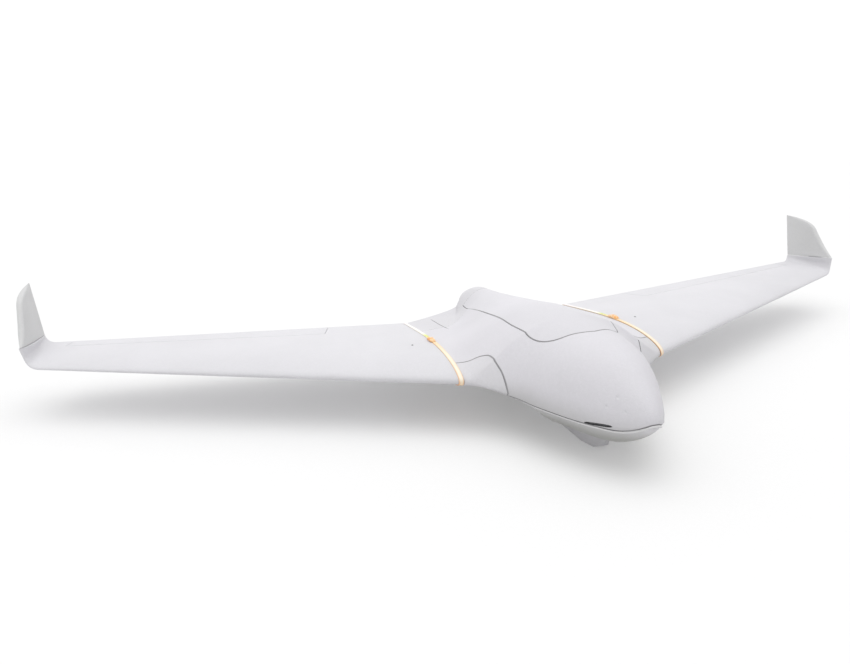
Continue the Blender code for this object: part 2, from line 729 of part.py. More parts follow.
def build_band():
    """Flat strap round the wing root, from the trailing edge over the top to under the front."""
    top = SHARES[11::-1]
    low = SHARES[1:6]
    rings = []
    start = JOINT_Y + 2 * FIT
    for y in (start, start + BAND_WIDTH):
        inner = band_path(y, FIT, top, low)
        outer = band_path(y, FIT + BAND_THICK, top, low)
        rings.append(inner + outer[::-1])
    band = loft("band_left", rings)
    lead, trail, thick = wing_frame(start + BAND_WIDTH / 2)
    at = lerp(lead, trail, 0.445)
    height = at.z + float(foil(0.445)[0]) * thick + 2 * FIT + BAND_THICK + 0.0002
    slope = 0.055
    outline = [(at.x + 0.011, height + slope * 0.011), (at.x + 0.008, height + slope * 0.008 + 0.003),
               (at.x - 0.008, height - slope * 0.008 + 0.003), (at.x - 0.011, height - slope * 0.011)]
    clip = prism("band_clip_left", outline, start - 0.0008 + 0.0010, start + BAND_WIDTH + 0.0012, "y", parts)
    return band, clip


# ---------------------------------------------------------------- turned and boxed pieces


def lathe(name, profile, count=28):
    """Turns a profile of (x, radius) about the motor axis with a Screw modifier."""
    mesh = bpy.data.meshes.new(name)
    points = [(radius, 0.0, -x) for x, radius in profile]
    edges = [(k, k + 1) for k in range(len(points) - 1)]
    if profile[0][1] > 0:
        edges.append((len(points) - 1, 0))
    mesh.from_pydata(points, edges, [])
    item = link(name, mesh, parts)
    screw = item.modifiers.new("turn", "SCREW")
    screw.axis = "Z"
    screw.steps = count
    screw.render_steps = count
    screw.use_merge_vertices = True
    screw.merge_threshold = 1e-5
    baked(item)
    shape = bmesh.new()
    shape.from_mesh(item.data)
    bmesh.ops.remove_doubles(shape, verts=shape.verts, dist=1e-6)
    outward(shape)
    shape.to_mesh(item.data)
    shape.free()
    turn = Matrix(((0, 0, -1, 0), (0, 1, 0, 0), (1, 0, 0, MOTOR_Z), (0, 0, 0, 1)))
    item.data.transform(Matrix.Translation(SHIFT) @ turn)
    return item


def build_motor():
    x = TAIL_X - FIT
    mount = lathe("motor_mount", [(x, 0.004), (x, MOTOR_PLATE_R), (x - 0.003, MOTOR_PLATE_R),
                                  (x - 0.003, 0.004)])
    x -= 0.003 + FIT
    bore = SHAFT_R + 0.0004
    stator = lathe("motor_stator", [(x, bore), (x, STATOR_R), (x - 0.005, STATOR_R), (x - 0.005, 0.0145),
                                    (x - 0.022, 0.0145), (x - 0.022, bore)])
    bell = lathe("motor_bell", [
        (x - 0.001, 0.0), (x - 0.001, SHAFT_R), (x - 0.024, SHAFT_R), (x - 0.024, 0.0150),
        (x - 0.0065, 0.0150), (x - 0.0065, BELL_R), (x - 0.0255, BELL_R), (x - 0.0270, 0.0160),
        (x - 0.0270, SHAFT_R), (x - 0.041, SHAFT_R), (x - 0.041, 0.0),
    ])
    a = x - 0.0270 - FIT
    adapter = lathe("prop_adapter", [
        (a, SHAFT_R + FIT), (a, 0.0070), (a - 0.004, 0.0070), (a - 0.004, 0.0040), (a - 0.012, 0.0040),
        (a - 0.012, 0.0058), (a - 0.017, 0.0058), (a - 0.023, 0.0020), (a - 0.023, 0.0),
        (x - 0.0415, 0.0), (x - 0.0415, SHAFT_R + FIT),
    ])
    for item in (bell, adapter):
        set_origin(item, (TAIL_X, 0.0, MOTOR_Z))
    return [mount, stator, bell, adapter]


def tube(name, spar, wall):
    x, z, radius, reach = spar
    item = rod(name, (x, z), radius, -reach, reach, "y")
    bore = rod("bore", (x, z), radius - wall, -reach - 0.01, reach + 0.01, "y", 20, helpers)
    return boolean(item, "DIFFERENCE", bore)


def build_inside(tray, hatch, canopy):
    items = [tube("front_spar", FRONT_SPAR, 0.001), tube("rear_spar", REAR_SPAR, 0.001)]
    boolean(tray, "DIFFERENCE", *spar_cutters(FIT))
    low = FLOOR_Z + FIT + 0.0012 + FIT
    battery = box("battery", (-0.010, -0.030, low), (0.112, 0.030, low + 0.042), parts)
    edges = battery.modifiers.new("edges", "BEVEL")
    edges.width = 0.003
    edges.segments = 2
    strap = box("battery_strap", (0.038, -0.0315, FLOOR_Z + FIT), (0.060, 0.0315, low + 0.0435), parts)
    inner = box("strap_inner", (0.030, -0.0303, low - FIT), (0.070, 0.0303, low + 0.0423))
    boolean(strap, "DIFFERENCE", inner)
    base = FLOOR_Z + FIT
    board = box("avionics_board", (-0.150, -0.036, base), (-0.014, 0.036, base + 0.003), parts)
    base += 0.003 + FIT
    controller = box("flight_controller", (-0.054, -0.018, base), (-0.018, 0.018, base + 0.014), parts)
    receiver = box("receiver", (-0.096, 0.006, base), (-0.060, 0.028, base + 0.009), parts)
    puck = rod("gps_puck", (-0.078, -0.018), 0.016, base, base + 0.011, "z", 24)
    speed = box("speed_controller", (-0.147, -0.015, base), (-0.101, 0.015, base + 0.011), parts)
    items += [battery, strap, board, controller, receiver, puck, speed]

    for sign, side in ((1, "left"), (-1, "right")):
        spot = (-0.200, sign * 0.150)
        seat_low, seat_high = 0.015 - SEAM, 0.015
        items += magnet_pair(tray, hatch, spot, seat_low, seat_high, f"tray_magnet_{side}",
                             f"hatch_magnet_{side}")
    spot = (-0.430, 0.0)
    items += magnet_pair(tray, canopy, spot, 0.003 - SEAM, 0.003, "tail_magnet", "canopy_magnet")
    foot = [(0.120, 0.012), (0.094, 0.020), (-0.235, 0.020)]
    skid = prism("keel_skid", both_sides(foot), KEEL_Z - FIT - SKID, KEEL_Z - FIT, "z", parts)
    return [*items, skid]


def magnet_pair(below, above, spot, seat_low, seat_high, low_name, high_name):
    low = rod(low_name, spot, 0.005, seat_low - 0.0031, seat_low - 0.0001, "z", 16)
    high = rod(high_name, spot, 0.005, seat_high + 0.0001, seat_high + 0.0031, "z", 16)
    room = rod("magnet_room", spot, 0.005 + FIT, seat_low - 0.0034, 0.01 + seat_low, "z", 16, helpers)
    boolean(below, "DIFFERENCE", room)
    room = rod("magnet_room", spot, 0.005 + FIT, seat_high - 0.01, seat_high + 0.0034, "z", 16, helpers)
    boolean(above, "DIFFERENCE", room)
    return [low, high]


# ---------------------------------------------------------------- materials

FOAM = ("foam", (0.80, 0.80, 0.82), 0.75, 0.0)
CARBON = ("carbon", (0.03, 0.03, 0.035), 0.35, 0.0)
STEEL = ("steel", (0.55, 0.56, 0.58), 0.30, 1.0)
ALUMINIUM = ("aluminium", (0.62, 0.63, 0.65), 0.35, 1.0)
DARK = ("dark_plastic", (0.05, 0.05, 0.055), 0.45, 0.0)
WHITE = ("white_plastic", (0.82, 0.82, 0.82), 0.40, 0.0)
AMBER = ("amber_strap", (0.95, 0.66, 0.30), 0.50, 0.0)
ORANGE = ("orange_plastic", (0.95, 0.42, 0.08), 0.45, 0.0)
WOOD = ("plywood", (0.62, 0.46, 0.28), 0.60, 0.0)
WRAP = ("battery_wrap", (0.10, 0.14, 0.30), 0.30, 0.0)
WEBBING = ("webbing", (0.08, 0.08, 0.08), 0.85, 0.0)
MAGNET = ("nickel", (0.70, 0.70, 0.72), 0.25, 1.0)
USES = {
    "fuselage_tray": FOAM, "hatch": FOAM, "canopy": FOAM, "wing": FOAM, "elevon": FOAM, "winglet": FOAM,
    "front_spar": CARBON, "rear_spar": CARBON, "motor_mount": ALUMINIUM, "motor_stator": DARK,
    "motor_bell": ALUMINIUM, "prop_adapter": ALUMINIUM, "battery": WRAP, "battery_strap": WEBBING,
    "avionics_board": WOOD, "flight_controller": DARK, "receiver": DARK, "gps_puck": WHITE,
    "speed_controller": DARK, "keel_skid": WHITE, "root_rib": WOOD, "band": AMBER, "band_clip": ORANGE,
    "winglet_tongue": WHITE, "control_horn": WHITE, "servo": DARK, "servo_cover": WHITE,
    "servo_arm": WHITE, "pushrod": STEEL, "tray_magnet": MAGNET, "hatch_magnet": MAGNET,
    "tail_magnet": MAGNET, "canopy_magnet": MAGNET,
}


def paint(item):
    kind = item.name.replace("_left", "").replace("_right", "")
    name, colour, rough, metal = USES[kind]
    material = bpy.data.materials.new(f"{item.name}_{name}")
    material.use_nodes = True
    shader = material.node_tree.nodes["Principled BSDF"]
    shader.inputs["Base Color"].default_value = (*colour, 1.0)
    shader.inputs["Roughness"].default_value = rough
    shader.inputs["Metallic"].default_value = metal
    item.data.materials.clear()
    item.data.materials.append(material)
    item.data.shade_smooth()
    item.data.set_sharp_from_angle(angle=math.radians(35))


def main():
    clear_scene()
    tray, hatch, canopy = build_body()
    build_inside(tray, hatch, canopy)
    build_motor()
    for item in build_wing():
        mirrored(item, item.name.replace("_left", "_right"))
    for item in parts.objects:
        paint(item)


main()
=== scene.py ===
"""Looks of the swept foam flying wing: dense moulded shells, straps, finishes and a pale studio.

Shapes are worked out in metres about the leading edge of the wing root, x forward and y to the left
wing, and SHIFT places them in the frame of the CAD.
"""

import math

import bmesh
import bpy
import numpy as np
from mathutils import Matrix, Vector


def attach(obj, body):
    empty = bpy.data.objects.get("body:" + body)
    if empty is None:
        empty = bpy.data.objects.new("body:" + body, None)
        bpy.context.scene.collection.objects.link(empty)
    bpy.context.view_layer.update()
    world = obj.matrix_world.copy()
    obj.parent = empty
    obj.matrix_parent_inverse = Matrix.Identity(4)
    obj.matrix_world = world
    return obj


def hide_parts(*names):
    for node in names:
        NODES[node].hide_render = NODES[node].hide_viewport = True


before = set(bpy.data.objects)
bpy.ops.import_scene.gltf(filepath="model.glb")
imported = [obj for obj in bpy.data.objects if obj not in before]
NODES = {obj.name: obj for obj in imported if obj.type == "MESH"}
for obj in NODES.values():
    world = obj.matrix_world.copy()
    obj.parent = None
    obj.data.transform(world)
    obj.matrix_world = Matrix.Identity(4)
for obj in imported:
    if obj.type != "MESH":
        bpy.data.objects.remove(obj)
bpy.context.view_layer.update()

# Placement of the working axes in the frame
SHIFT = Vector((0.1538, 0.0, 0.1075))

# Gaps: between pieces that touch, and along the seams of hatch, canopy and tray
FIT = 0.0003
GAP = 0.0005

# Body
NOSE_X = 0.290
TAIL_X = -0.520
JOINT_Y = 0.2105
ROOT_THICK = 0.046
WALL = 0.012
FLOOR_Z = -0.060
KEEL_Z = -0.106
KEEL_HALF = 0.023
KEEL_ROUND = 0.0018
DOME_FRONT_X = 0.100
FOIL_BEGINS = (0.16, 0.12)
FOIL_ENDS = (-0.515, 0.08)
BAY_HALF = 0.078
BAY_SIDE_WALL = 0.016
MOTOR_Z = 0.018

# Seams, grooves and marks of the body
PLAN_LOW = -0.2
ALL_HIGH = 0.3
GROOVE_RADIUS = 0.0017
GROOVE_LIFT = 0.0007
CREASE_RADIUS = 0.0016
CREASE_LIFT = 0.0006
JOINT_GROOVE_RADIUS = 0.0012
LIP_RADIUS = 0.0021
LIP_DROP = -0.0023
LIP_PROUD = 0.0002
FINGER_GAP_X = 0.2225
FINGER_GAP_HALF = 0.0225
DIMPLE_BALL = 0.0073
DIMPLE_LIFT = 0.0066
DIMPLES = [(0.231, -0.051), (0.240, -0.038), (0.259, -0.034), (0.231, 0.051), (0.240, 0.038)]
CREASE = [(-0.290, 0.1470), (-0.343, 0.1500), (-0.400, 0.1490), (-0.4400, 0.1485)]
SIDE_MAGNET_Z = 0.015
TAIL_MAGNET_Z = 0.003
MAGNET_ROOM = 0.0053

# Wing, from its joint with the body to the foot of the winglet
TIP_Y = 1.0155
TIP_LE = Vector((-0.385, TIP_Y, 0.010))
TIP_TE = Vector((-0.543, TIP_Y, 0.023))
ROOT_LE = Vector((-0.002, JOINT_Y, 0.0))
ROOT_TE = Vector((-0.434, JOINT_Y, 0.001))
TIP_THICK = 0.0155
TIP_RIM = 0.0056
RIB = 0.002
WING_HOLE = (-0.178, 0.263)
FRONT_SPAR = (-0.150, 0.0050, 0.0060, 0.375)
REAR_SPAR = (-0.290, 0.0045, 0.0040, 0.395)

# Straps and their clips
BAND_WIDTH = 0.009
BAND_THICK = 0.0014
CLIP_AT = 0.440
CLIP_HALF_LONG = 0.0400
CLIP_HALF_WIDE = 0.0064
CLIP_HIGH = 0.0044
CLIP_EDGE = 0.0006

# Winglet
WINGLET_LE = Vector((-0.4030, 1.0485, 0.054))
WINGLET_TE = Vector((-0.5560, 1.0395, 0.040))
WINGLET_TOP = Vector((-0.5970, 1.0600, 0.1555))
WINGLET_THICK = 0.0150
TONGUE_ROOM = (0.0214, 0.0014, -0.0084, 0.0144)
LEAN = math.radians(83.0)

# Elevon and its linkage
HINGE_AT = 0.75
ELEVON_IN_Y = 0.420
ELEVON_OUT_Y = 0.985
BEVEL = math.tan(math.radians(31.0))
SERVO_AHEAD = 0.085
SERVO_DROP = 0.008
LINK_AT = 0.190
ELEVON_GAP = 0.0009

# Plan of the body from nose to tail, as distance behind the nose or as x, and half width
OUTLINE = [
    (0.0, 0.0), (0.008, 0.018), (0.020, 0.030), (0.040, 0.044), (0.070, 0.062), (0.110, 0.084),
    (0.150, 0.102), (0.190, 0.118), (0.212, 0.126), (0.234, 0.138), (0.254, 0.155), (0.274, 0.181),
    (0.292, 0.2105),
]
TAIL_OUTLINE = [
    (-0.434, 0.2105), (-0.450, 0.165), (-0.466, 0.122), (-0.482, 0.085), (-0.496, 0.062),
    (-0.508, 0.051), (-0.520, 0.045),
]
# Heights of the centre line and of the outer edge, x and z
CREST = [
    (0.290, 0.003), (0.281, 0.026), (0.262, 0.045), (0.235, 0.063), (0.200, 0.080), (0.150, 0.093),
    (0.080, 0.103), (0.000, 0.106), (-0.100, 0.101), (-0.250, 0.082), (-0.370, 0.069),
    (-0.470, 0.061), (-0.505, 0.057), (-0.520, 0.052),
]
BELLY = [
    (0.290, -0.003), (0.281, -0.015), (0.262, -0.031), (0.235, -0.049), (0.195, -0.067),
    (0.140, -0.076), (0.050, -0.080), (-0.100, -0.080), (-0.200, -0.077), (-0.300, -0.057),
    (-0.370, -0.042), (-0.470, -0.022), (-0.520, -0.016),
]
EDGE = [(0.290, 0.000), (0.250, -0.011), (0.200, -0.018), (0.100, -0.021), (0.060, -0.018),
        (0.030, -0.010), (0.000, -0.001), (-0.430, 0.001), (-0.480, 0.008), (-0.520, MOTOR_Z)]
# Half widths of the raised top and of the belly, and the sharpness of their shoulders
DOME = [(0.100, 0.122), (0.000, 0.200), (-0.100, 0.205), (-0.250, 0.165), (-0.370, 0.112),
        (-0.460, 0.072), (-0.496, 0.060), (-0.520, 0.0445)]
HULL = [(0.100, 0.118), (0.050, 0.111), (0.000, 0.119), (-0.100, 0.145), (-0.250, 0.125),
        (-0.370, 0.090), (-0.460, 0.066), (-0.496, 0.060), (-0.520, 0.0445)]
FLARE = [(0.130, 0.50), (0.060, 0.85), (0.000, 1.45), (-0.080, 1.80), (-0.400, 1.70), (-0.480, 1.0),
         (-0.520, 0.5)]
# Seams in plan: round the front and side of the hatch, round the canopy, over the shoulder
SEAM_A = [(0.120, 0.147), (0.075, 0.142), (0.044, 0.1445), (0.027, 0.1465), (0.0158, 0.150),
          (0.0067, 0.1528), (-0.0073, 0.1539), (-0.0189, 0.1561), (-0.0294, 0.1622),
          (-0.0369, 0.1696), (-0.0435, 0.1877), (-0.0514, 0.207), (-0.055, 0.230)]
SEAM_B = [(0.100, 0.000), (0.0955, 0.015), (0.0882, 0.0303), (0.0828, 0.0404), (0.0751, 0.0558),
          (0.0674, 0.0649), (0.0572, 0.0730), (0.0482, 0.0785), (0.0356, 0.0841), (0.0104, 0.0900),
          (-0.0442, 0.0900), (-0.1305, 0.0865), (-0.2532, 0.0772), (-0.307, 0.073), (-0.389, 0.066)]
SHOULDER = [(-0.300, 0.230), (-0.315, 0.1465), (-0.389, 0.0664)]
CANOPY_END = [(-0.455, 0.056)]
# Joint between tray and hatch seen from the side, x and z
PARTING = [(0.35, 0.003), (0.2894, 0.002), (0.2864, -0.0009), (0.2777, -0.0072), (0.267, -0.0128),
           (0.255, -0.0173), (0.243, -0.0200), (0.200, -0.0215), (0.090, -0.022), (0.045, -0.019),
           (-0.015, 0.015), (-0.200, 0.015), (-0.290, 0.0095), (-0.400, 0.003), (-0.600, 0.003)]


# ---------------------------------------------------------------- finishes


class Finish:
    """A node material on the Principled shader, with object coordinates for its patterns."""

    def __init__(self, name, rough, metal=0.0, **sockets):
        self.material = bpy.data.materials.new(name)
        self.material.use_nodes = True
        self.tree = self.material.node_tree
        self.shader = self.tree.nodes["Principled BSDF"]
        self.set(self.shader, Roughness=rough, Metallic=metal, **sockets)
        self.place = self.add("ShaderNodeTexCoord").outputs["Object"]
        self.normal = None

    def feed(self, socket, value):
        if isinstance(value, bpy.types.NodeSocket):
            self.tree.links.new(value, socket)
        else:
            socket.default_value = value

    def set(self, node, **sockets):
        for key, value in sockets.items():
            self.feed(node.inputs[key.replace("_", " ")], value)

    def add(self, kind, settings=None, **sockets):
        node = self.tree.nodes.new(kind)
        for key, value in (settings or {}).items():
            setattr(node, key, value)
        self.set(node, **sockets)
        return node

    def stretched(self, x, y, z):
        return self.add("ShaderNodeMapping", Vector=self.place, Scale=(x, y, z)).outputs["Vector"]

    def noise(self, scale, detail=2.0, rough=0.5, place=None):
        node = self.add("ShaderNodeTexNoise", Vector=place or self.place, Scale=scale, Detail=detail,
                        Roughness=rough)
        return node.outputs["Fac"]

    def cells(self, scale, feature="F1", out="Distance", place=None):
        node = self.add("ShaderNodeTexVoronoi", {"feature": feature}, Vector=place or self.place,
                        Scale=scale)
        return node.outputs[out]

    def span(self, value, a, b, c, d, soft=False):
        kind = {"interpolation_type": "SMOOTHSTEP" if soft else "LINEAR"}
        node = self.add("ShaderNodeMapRange", kind, Value=value, From_Min=a, From_Max=b, To_Min=c,
                        To_Max=d)
        return node.outputs["Result"]

    def sum(self, a, b, operation="ADD"):
        node = self.add("ShaderNodeMath", {"operation": operation})
        for socket, value in zip(node.inputs, (a, b)):
            self.feed(socket, value)
        return node.outputs["Value"]

    def ramp(self, value, *stops):
        node = self.add("ShaderNodeValToRGB", Fac=value)
        line = node.color_ramp.elements
        while len(line) < len(stops):
            line.new(0.5)
        for item, (at, colour) in zip(line, stops):
            item.position = at
            item.color = (*colour, 1.0)
        return node.outputs["Color"]

    def mix(self, value, a, b):
        node = self.add("ShaderNodeMix", {"data_type": "RGBA"})
        self.feed(node.inputs[0], value)
        for socket, colour in ((node.inputs[6], a), (node.inputs[7], b)):
            self.feed(socket, (*colour, 1.0) if isinstance(colour, tuple) else colour)
        return node.outputs[2]

    def bump(self, height, distance, strength=1.0):
        node = self.add("ShaderNodeBump", Height=height, Distance=distance, Strength=strength)
        if self.normal is not None:
            self.set(node, Normal=self.normal)
        self.normal = node.outputs["Normal"]

    def done(self, colour=None, rough=None):
        if colour is not None:
            self.set(self.shader, Base_Color=colour)
        if rough is not None:
            self.set(self.shader, Roughness=rough)
        if self.normal is not None:
            self.set(self.shader, Normal=self.normal)
        return self.material


# Grey mixed into the lower foam as painted shade of the undersides and lower sides
SHADE_GREY = (0.35, 0.35, 0.335)


def foam(name, light, dark, seed, soiled=None, depth=1.0):
    """Moulded bead foam: fused beads with fine creases, faint patches and a dull sheen.
    soiled gives the heights below which the lower foam is darkened with painted shade, eased towards the
    keel's foot, and depth by how much."""
    f = Finish(name, 0.6, Specular_IOR_Level=0.32)
    place = f.add("ShaderNodeMapping", Vector=f.place, Location=(seed, seed * 0.37, 0.0))
    place = place.outputs["Vector"]
    crease = f.span(f.cells(250.0, "DISTANCE_TO_EDGE", place=place), 0.0, 0.11, 0.0, 1.0, True)
    bead = f.cells(250.0, out="Color", place=place)
    tone = f.add("ShaderNodeSeparateColor", Color=bead).outputs["Red"]
    patch = f.noise(5.5, 3.0, 0.55, place)
    shade = f.sum(f.sum(f.span(tone, 0.0, 1.0, 0.0, 0.30), f.span(patch, 0.3, 0.7, 0.0, 0.62)),
                  f.span(crease, 0.0, 1.0, -0.22, 0.0))
    colour = f.ramp(shade, (0.0, dark), (1.0, light))
    # Painted shade: darker towards the bottom, eased again at the keel's foot
    if soiled:
        height = f.add("ShaderNodeSeparateXYZ", Vector=f.place).outputs["Z"]
        uneven = f.sum(height, f.span(patch, 0.3, 0.7, -0.006, 0.006))
        low = f.span(uneven, *soiled, depth, 0.0, True)
        low = f.sum(low, f.span(height, 0.020, 0.055, 0.15, 1.0, True), "MULTIPLY")
        colour = f.mix(low, colour, SHADE_GREY)
    f.bump(crease, 0.00016, 0.55)
    f.bump(f.noise(70.0, 3.0, 0.5, place), 0.0007, 0.16)
    return f.done(colour, f.span(tone, 0.0, 1.0, 0.56, 0.70))


def gap_shade_foam():
    """Foam where it was cut or stands in a joint: open beads, coloured near black as painted shade in the
    gaps and pockets.
    """
    f = Finish("foam_joint_face", 0.8, Specular_IOR_Level=0.15)
    cells = f.cells(330.0)
    f.bump(cells, 0.0006, 0.7)
    return f.done(f.ramp(cells, (0.0, (0.20, 0.20, 0.21)), (0.6, (0.13, 0.13, 0.14))))


def dark_hole():
    f = Finish("shadowed_recess", 0.9, Specular_IOR_Level=0.1)
    spots = f.noise(150.0, 2.0)
    f.bump(spots, 0.0005, 0.6)
    return f.done(f.ramp(spots, (0.3, (0.070, 0.070, 0.074)), (0.7, (0.200, 0.200, 0.206))))


def moulded(name, colour, rough, grain=900.0):
    """Injection-moulded plastic with a fine spark texture and faint wear."""
    f = Finish(name, rough)
    wear = f.noise(55.0, 5.0, 0.65)
    f.bump(f.noise(grain, 2.0), 0.00012, 0.5)
    worn = tuple(0.90 * c for c in colour)
    fresh = tuple(min(1.0, 1.06 * c) for c in colour)
    return f.done(f.ramp(wear, (0.35, worn), (0.65, fresh)),
                  f.span(wear, 0.3, 0.7, rough - 0.06, rough + 0.08))


def turned(name, colour, rough):
    """Turned and anodised metal: fine rings about the motor axis."""
    f = Finish(name, rough, 1.0, Anisotropic=0.5)
    rings = f.add("ShaderNodeTexWave", {"wave_type": "BANDS", "bands_direction": "X"}, Vector=f.place,
                  Scale=900.0, Distortion=0.6, Detail=2.0).outputs["Fac"]
    stain = f.noise(90.0, 4.0)
    f.bump(rings, 0.00005, 0.35)
    return f.done(f.ramp(stain, (0.3, tuple(0.82 * c for c in colour)), (0.7, colour)),
                  f.span(stain, 0.3, 0.7, rough - 0.05, rough + 0.10))


def wire():
    f = Finish("spring_steel_wire", 0.28, 1.0)
    drawn = f.noise(120.0, 4.0, 0.6, f.stretched(0.1, 4.0, 4.0))
    f.bump(drawn, 0.00006, 0.4)
    return f.done(f.ramp(drawn, (0.3, (0.42, 0.43, 0.45)), (0.7, (0.60, 0.61, 0.63))))


def plated():
    f = Finish("nickel_plate", 0.2, 1.0)
    smear = f.noise(300.0, 4.0)
    f.bump(smear, 0.00004, 0.5)
    return f.done(f.ramp(smear, (0.3, (0.60, 0.59, 0.57)), (0.7, (0.74, 0.73, 0.71))),
                  f.span(smear, 0.3, 0.7, 0.14, 0.34))


def carbon():
    """Wound carbon tube: a twill of dark tows under clear resin."""
    f = Finish("carbon_tube", 0.38, Coat_Weight=0.7, Coat_Roughness=0.12)
    place = f.add("ShaderNodeMapping", Vector=f.place, Rotation=(0.0, 0.0, math.radians(45)),
                  Scale=(420.0, 420.0, 420.0)).outputs["Vector"]
    weave = f.add("ShaderNodeTexChecker", Vector=place, Scale=1.0).outputs["Fac"]
    f.bump(f.noise(800.0, 2.0), 0.00006, 0.4)
    return f.done(f.mix(weave, (0.012, 0.012, 0.014), (0.045, 0.046, 0.050)))


def plywood():
    f = Finish("birch_plywood", 0.62, Specular_IOR_Level=0.25)
    grain = f.add("ShaderNodeTexWave", {"wave_type": "BANDS", "bands_direction": "Y"},
                  Vector=f.stretched(1.0, 1.0, 6.0), Scale=95.0, Distortion=5.5, Detail=3.0,
                  Detail_Scale=1.4).outputs["Fac"]
    fleck = f.noise(260.0, 4.0, 0.6, f.stretched(0.15, 1.0, 1.0))
    f.bump(f.sum(grain, fleck), 0.0002, 0.35)
    return f.done(f.ramp(f.sum(f.span(grain, 0.0, 1.0, 0.0, 0.5), f.span(fleck, 0.0, 1.0, 0.0, 0.5)),
                         (0.1, (0.42, 0.27, 0.13)), (0.6, (0.66, 0.49, 0.29)), (1.0, (0.76, 0.60, 0.39))))


def webbing():
    f = Finish("woven_webbing", 0.85, Sheen_Weight=0.4)
    across = f.add("ShaderNodeTexWave", {"bands_direction": "X"}, Vector=f.place, Scale=420.0).outputs["Fac"]
    along = f.add("ShaderNodeTexWave", {"bands_direction": "DIAGONAL"}, Vector=f.place,
                  Scale=300.0).outputs["Fac"]
    weave = f.sum(across, along, "MULTIPLY")
    f.bump(weave, 0.0004, 0.8)
    return f.done(f.ramp(weave, (0.0, (0.012, 0.012, 0.013)), (1.0, (0.055, 0.055, 0.060))))


def shrink_wrap():
    f = Finish("battery_shrink_wrap", 0.25, Coat_Weight=0.5, Coat_Roughness=0.08)
    crinkle = f.noise(42.0, 5.0, 0.6, f.stretched(0.5, 1.0, 2.2))
    f.bump(crinkle, 0.0012, 0.35)
    return f.done(f.ramp(crinkle, (0.3, (0.035, 0.055, 0.17)), (0.7, (0.055, 0.085, 0.24))),
                  f.span(crinkle, 0.3, 0.7, 0.18, 0.34))


def windings():
    f = Finish("enamelled_windings", 0.35, 0.6)
    turns = f.add("ShaderNodeTexWave", {"bands_direction": "X"}, Vector=f.place, Scale=800.0,
                  Distortion=1.5, Detail=2.0).outputs["Fac"]
    f.bump(turns, 0.0003, 0.8)
    return f.done(f.ramp(turns, (0.1, (0.11, 0.03, 0.01)), (0.9, (0.55, 0.22, 0.09))))


def strap_finish():
    """Translucent amber strap with painted light and shade: paler along its middle and on its lit top
    towards the rear, deeper at its rolled edges and where it wraps under the leading edge.
    """
    f = Finish("amber_elastic_strap", 0.42, Specular_IOR_Level=0.45)
    where = f.add("ShaderNodeSeparateXYZ",
                  Vector=f.add("ShaderNodeUVMap", {"uv_map": "lie"}).outputs["UV"])
    across, along = where.outputs["X"], where.outputs["Y"]
    edge = f.span(f.sum(f.sum(across, 0.5, "SUBTRACT"), 2.0, "MULTIPLY"), -1.0, 1.0, -1.0, 1.0)
    edge = f.sum(edge, 0.0, "ABSOLUTE")
    edge = f.sum(f.span(edge, 0.45, 1.0, 0.0, 1.0, True),
                 f.span(f.noise(90.0, 3.0), 0.3, 0.7, -0.10, 0.10))
    # Colour along the strap from the trailing edge over the top and under the leading edge: painted light,
    # pale on the lit top, deeper orange in the shade under the leading edge
    core = f.ramp(along, (0.00, (0.82, 0.78, 0.78)), (0.265, (0.84, 0.80, 0.76)),
                  (0.285, (0.60, 0.68, 0.08)), (0.302, (0.66, 0.66, 0.12)), (0.325, (0.86, 0.58, 0.30)),
                  (0.40, (0.86, 0.72, 0.50)), (0.48, (0.86, 0.80, 0.64)), (0.66, (0.88, 0.80, 0.66)),
                  (0.74, (0.88, 0.66, 0.42)), (0.80, (0.86, 0.42, 0.12)), (1.00, (0.84, 0.34, 0.08)))
    # Colour of the rolled edges: painted shade, deeper where they turn away from the light
    rim = f.ramp(along, (0.00, (0.78, 0.72, 0.72)), (0.28, (0.78, 0.72, 0.60)),
                 (0.36, (0.84, 0.50, 0.22)), (0.46, (0.84, 0.66, 0.46)), (0.58, (0.84, 0.56, 0.34)),
                 (0.72, (0.84, 0.42, 0.18)), (1.00, (0.84, 0.28, 0.06)))
    grain = f.noise(600.0, 2.0, 0.5, f.stretched(0.2, 1.0, 1.0))
    f.bump(grain, 0.0002, 0.5)
    return f.done(f.mix(edge, core, rim))


def clip_finish():
    """Peach plastic, deeper orange in patches."""
    f = Finish("peach_clip_plastic", 0.40, Specular_IOR_Level=0.4)
    wear = f.noise(120.0, 3.0)
    f.bump(f.noise(900.0, 2.0), 0.00012, 0.5)
    shade = f.ramp(wear, (0.38, (0.86, 0.34, 0.07)), (0.52, (0.88, 0.52, 0.24)), (0.66, (0.88, 0.66, 0.42)))
    return f.done(shade, f.span(wear, 0.3, 0.7, 0.34, 0.48))


def studio(name, level, tone):
    """Matt seamless paper of the floor and the wall behind."""
    f = Finish(name, 0.95, Specular_IOR_Level=0.0, Emission_Strength=level,
               Emission_Color=(1.0, 1.0, 1.0, 1.0))
    grain = f.noise(180.0, 2.0)
    return f.done(f.ramp(grain, (0.3, (tone,) * 3), (0.7, (tone + 0.01,) * 3)))


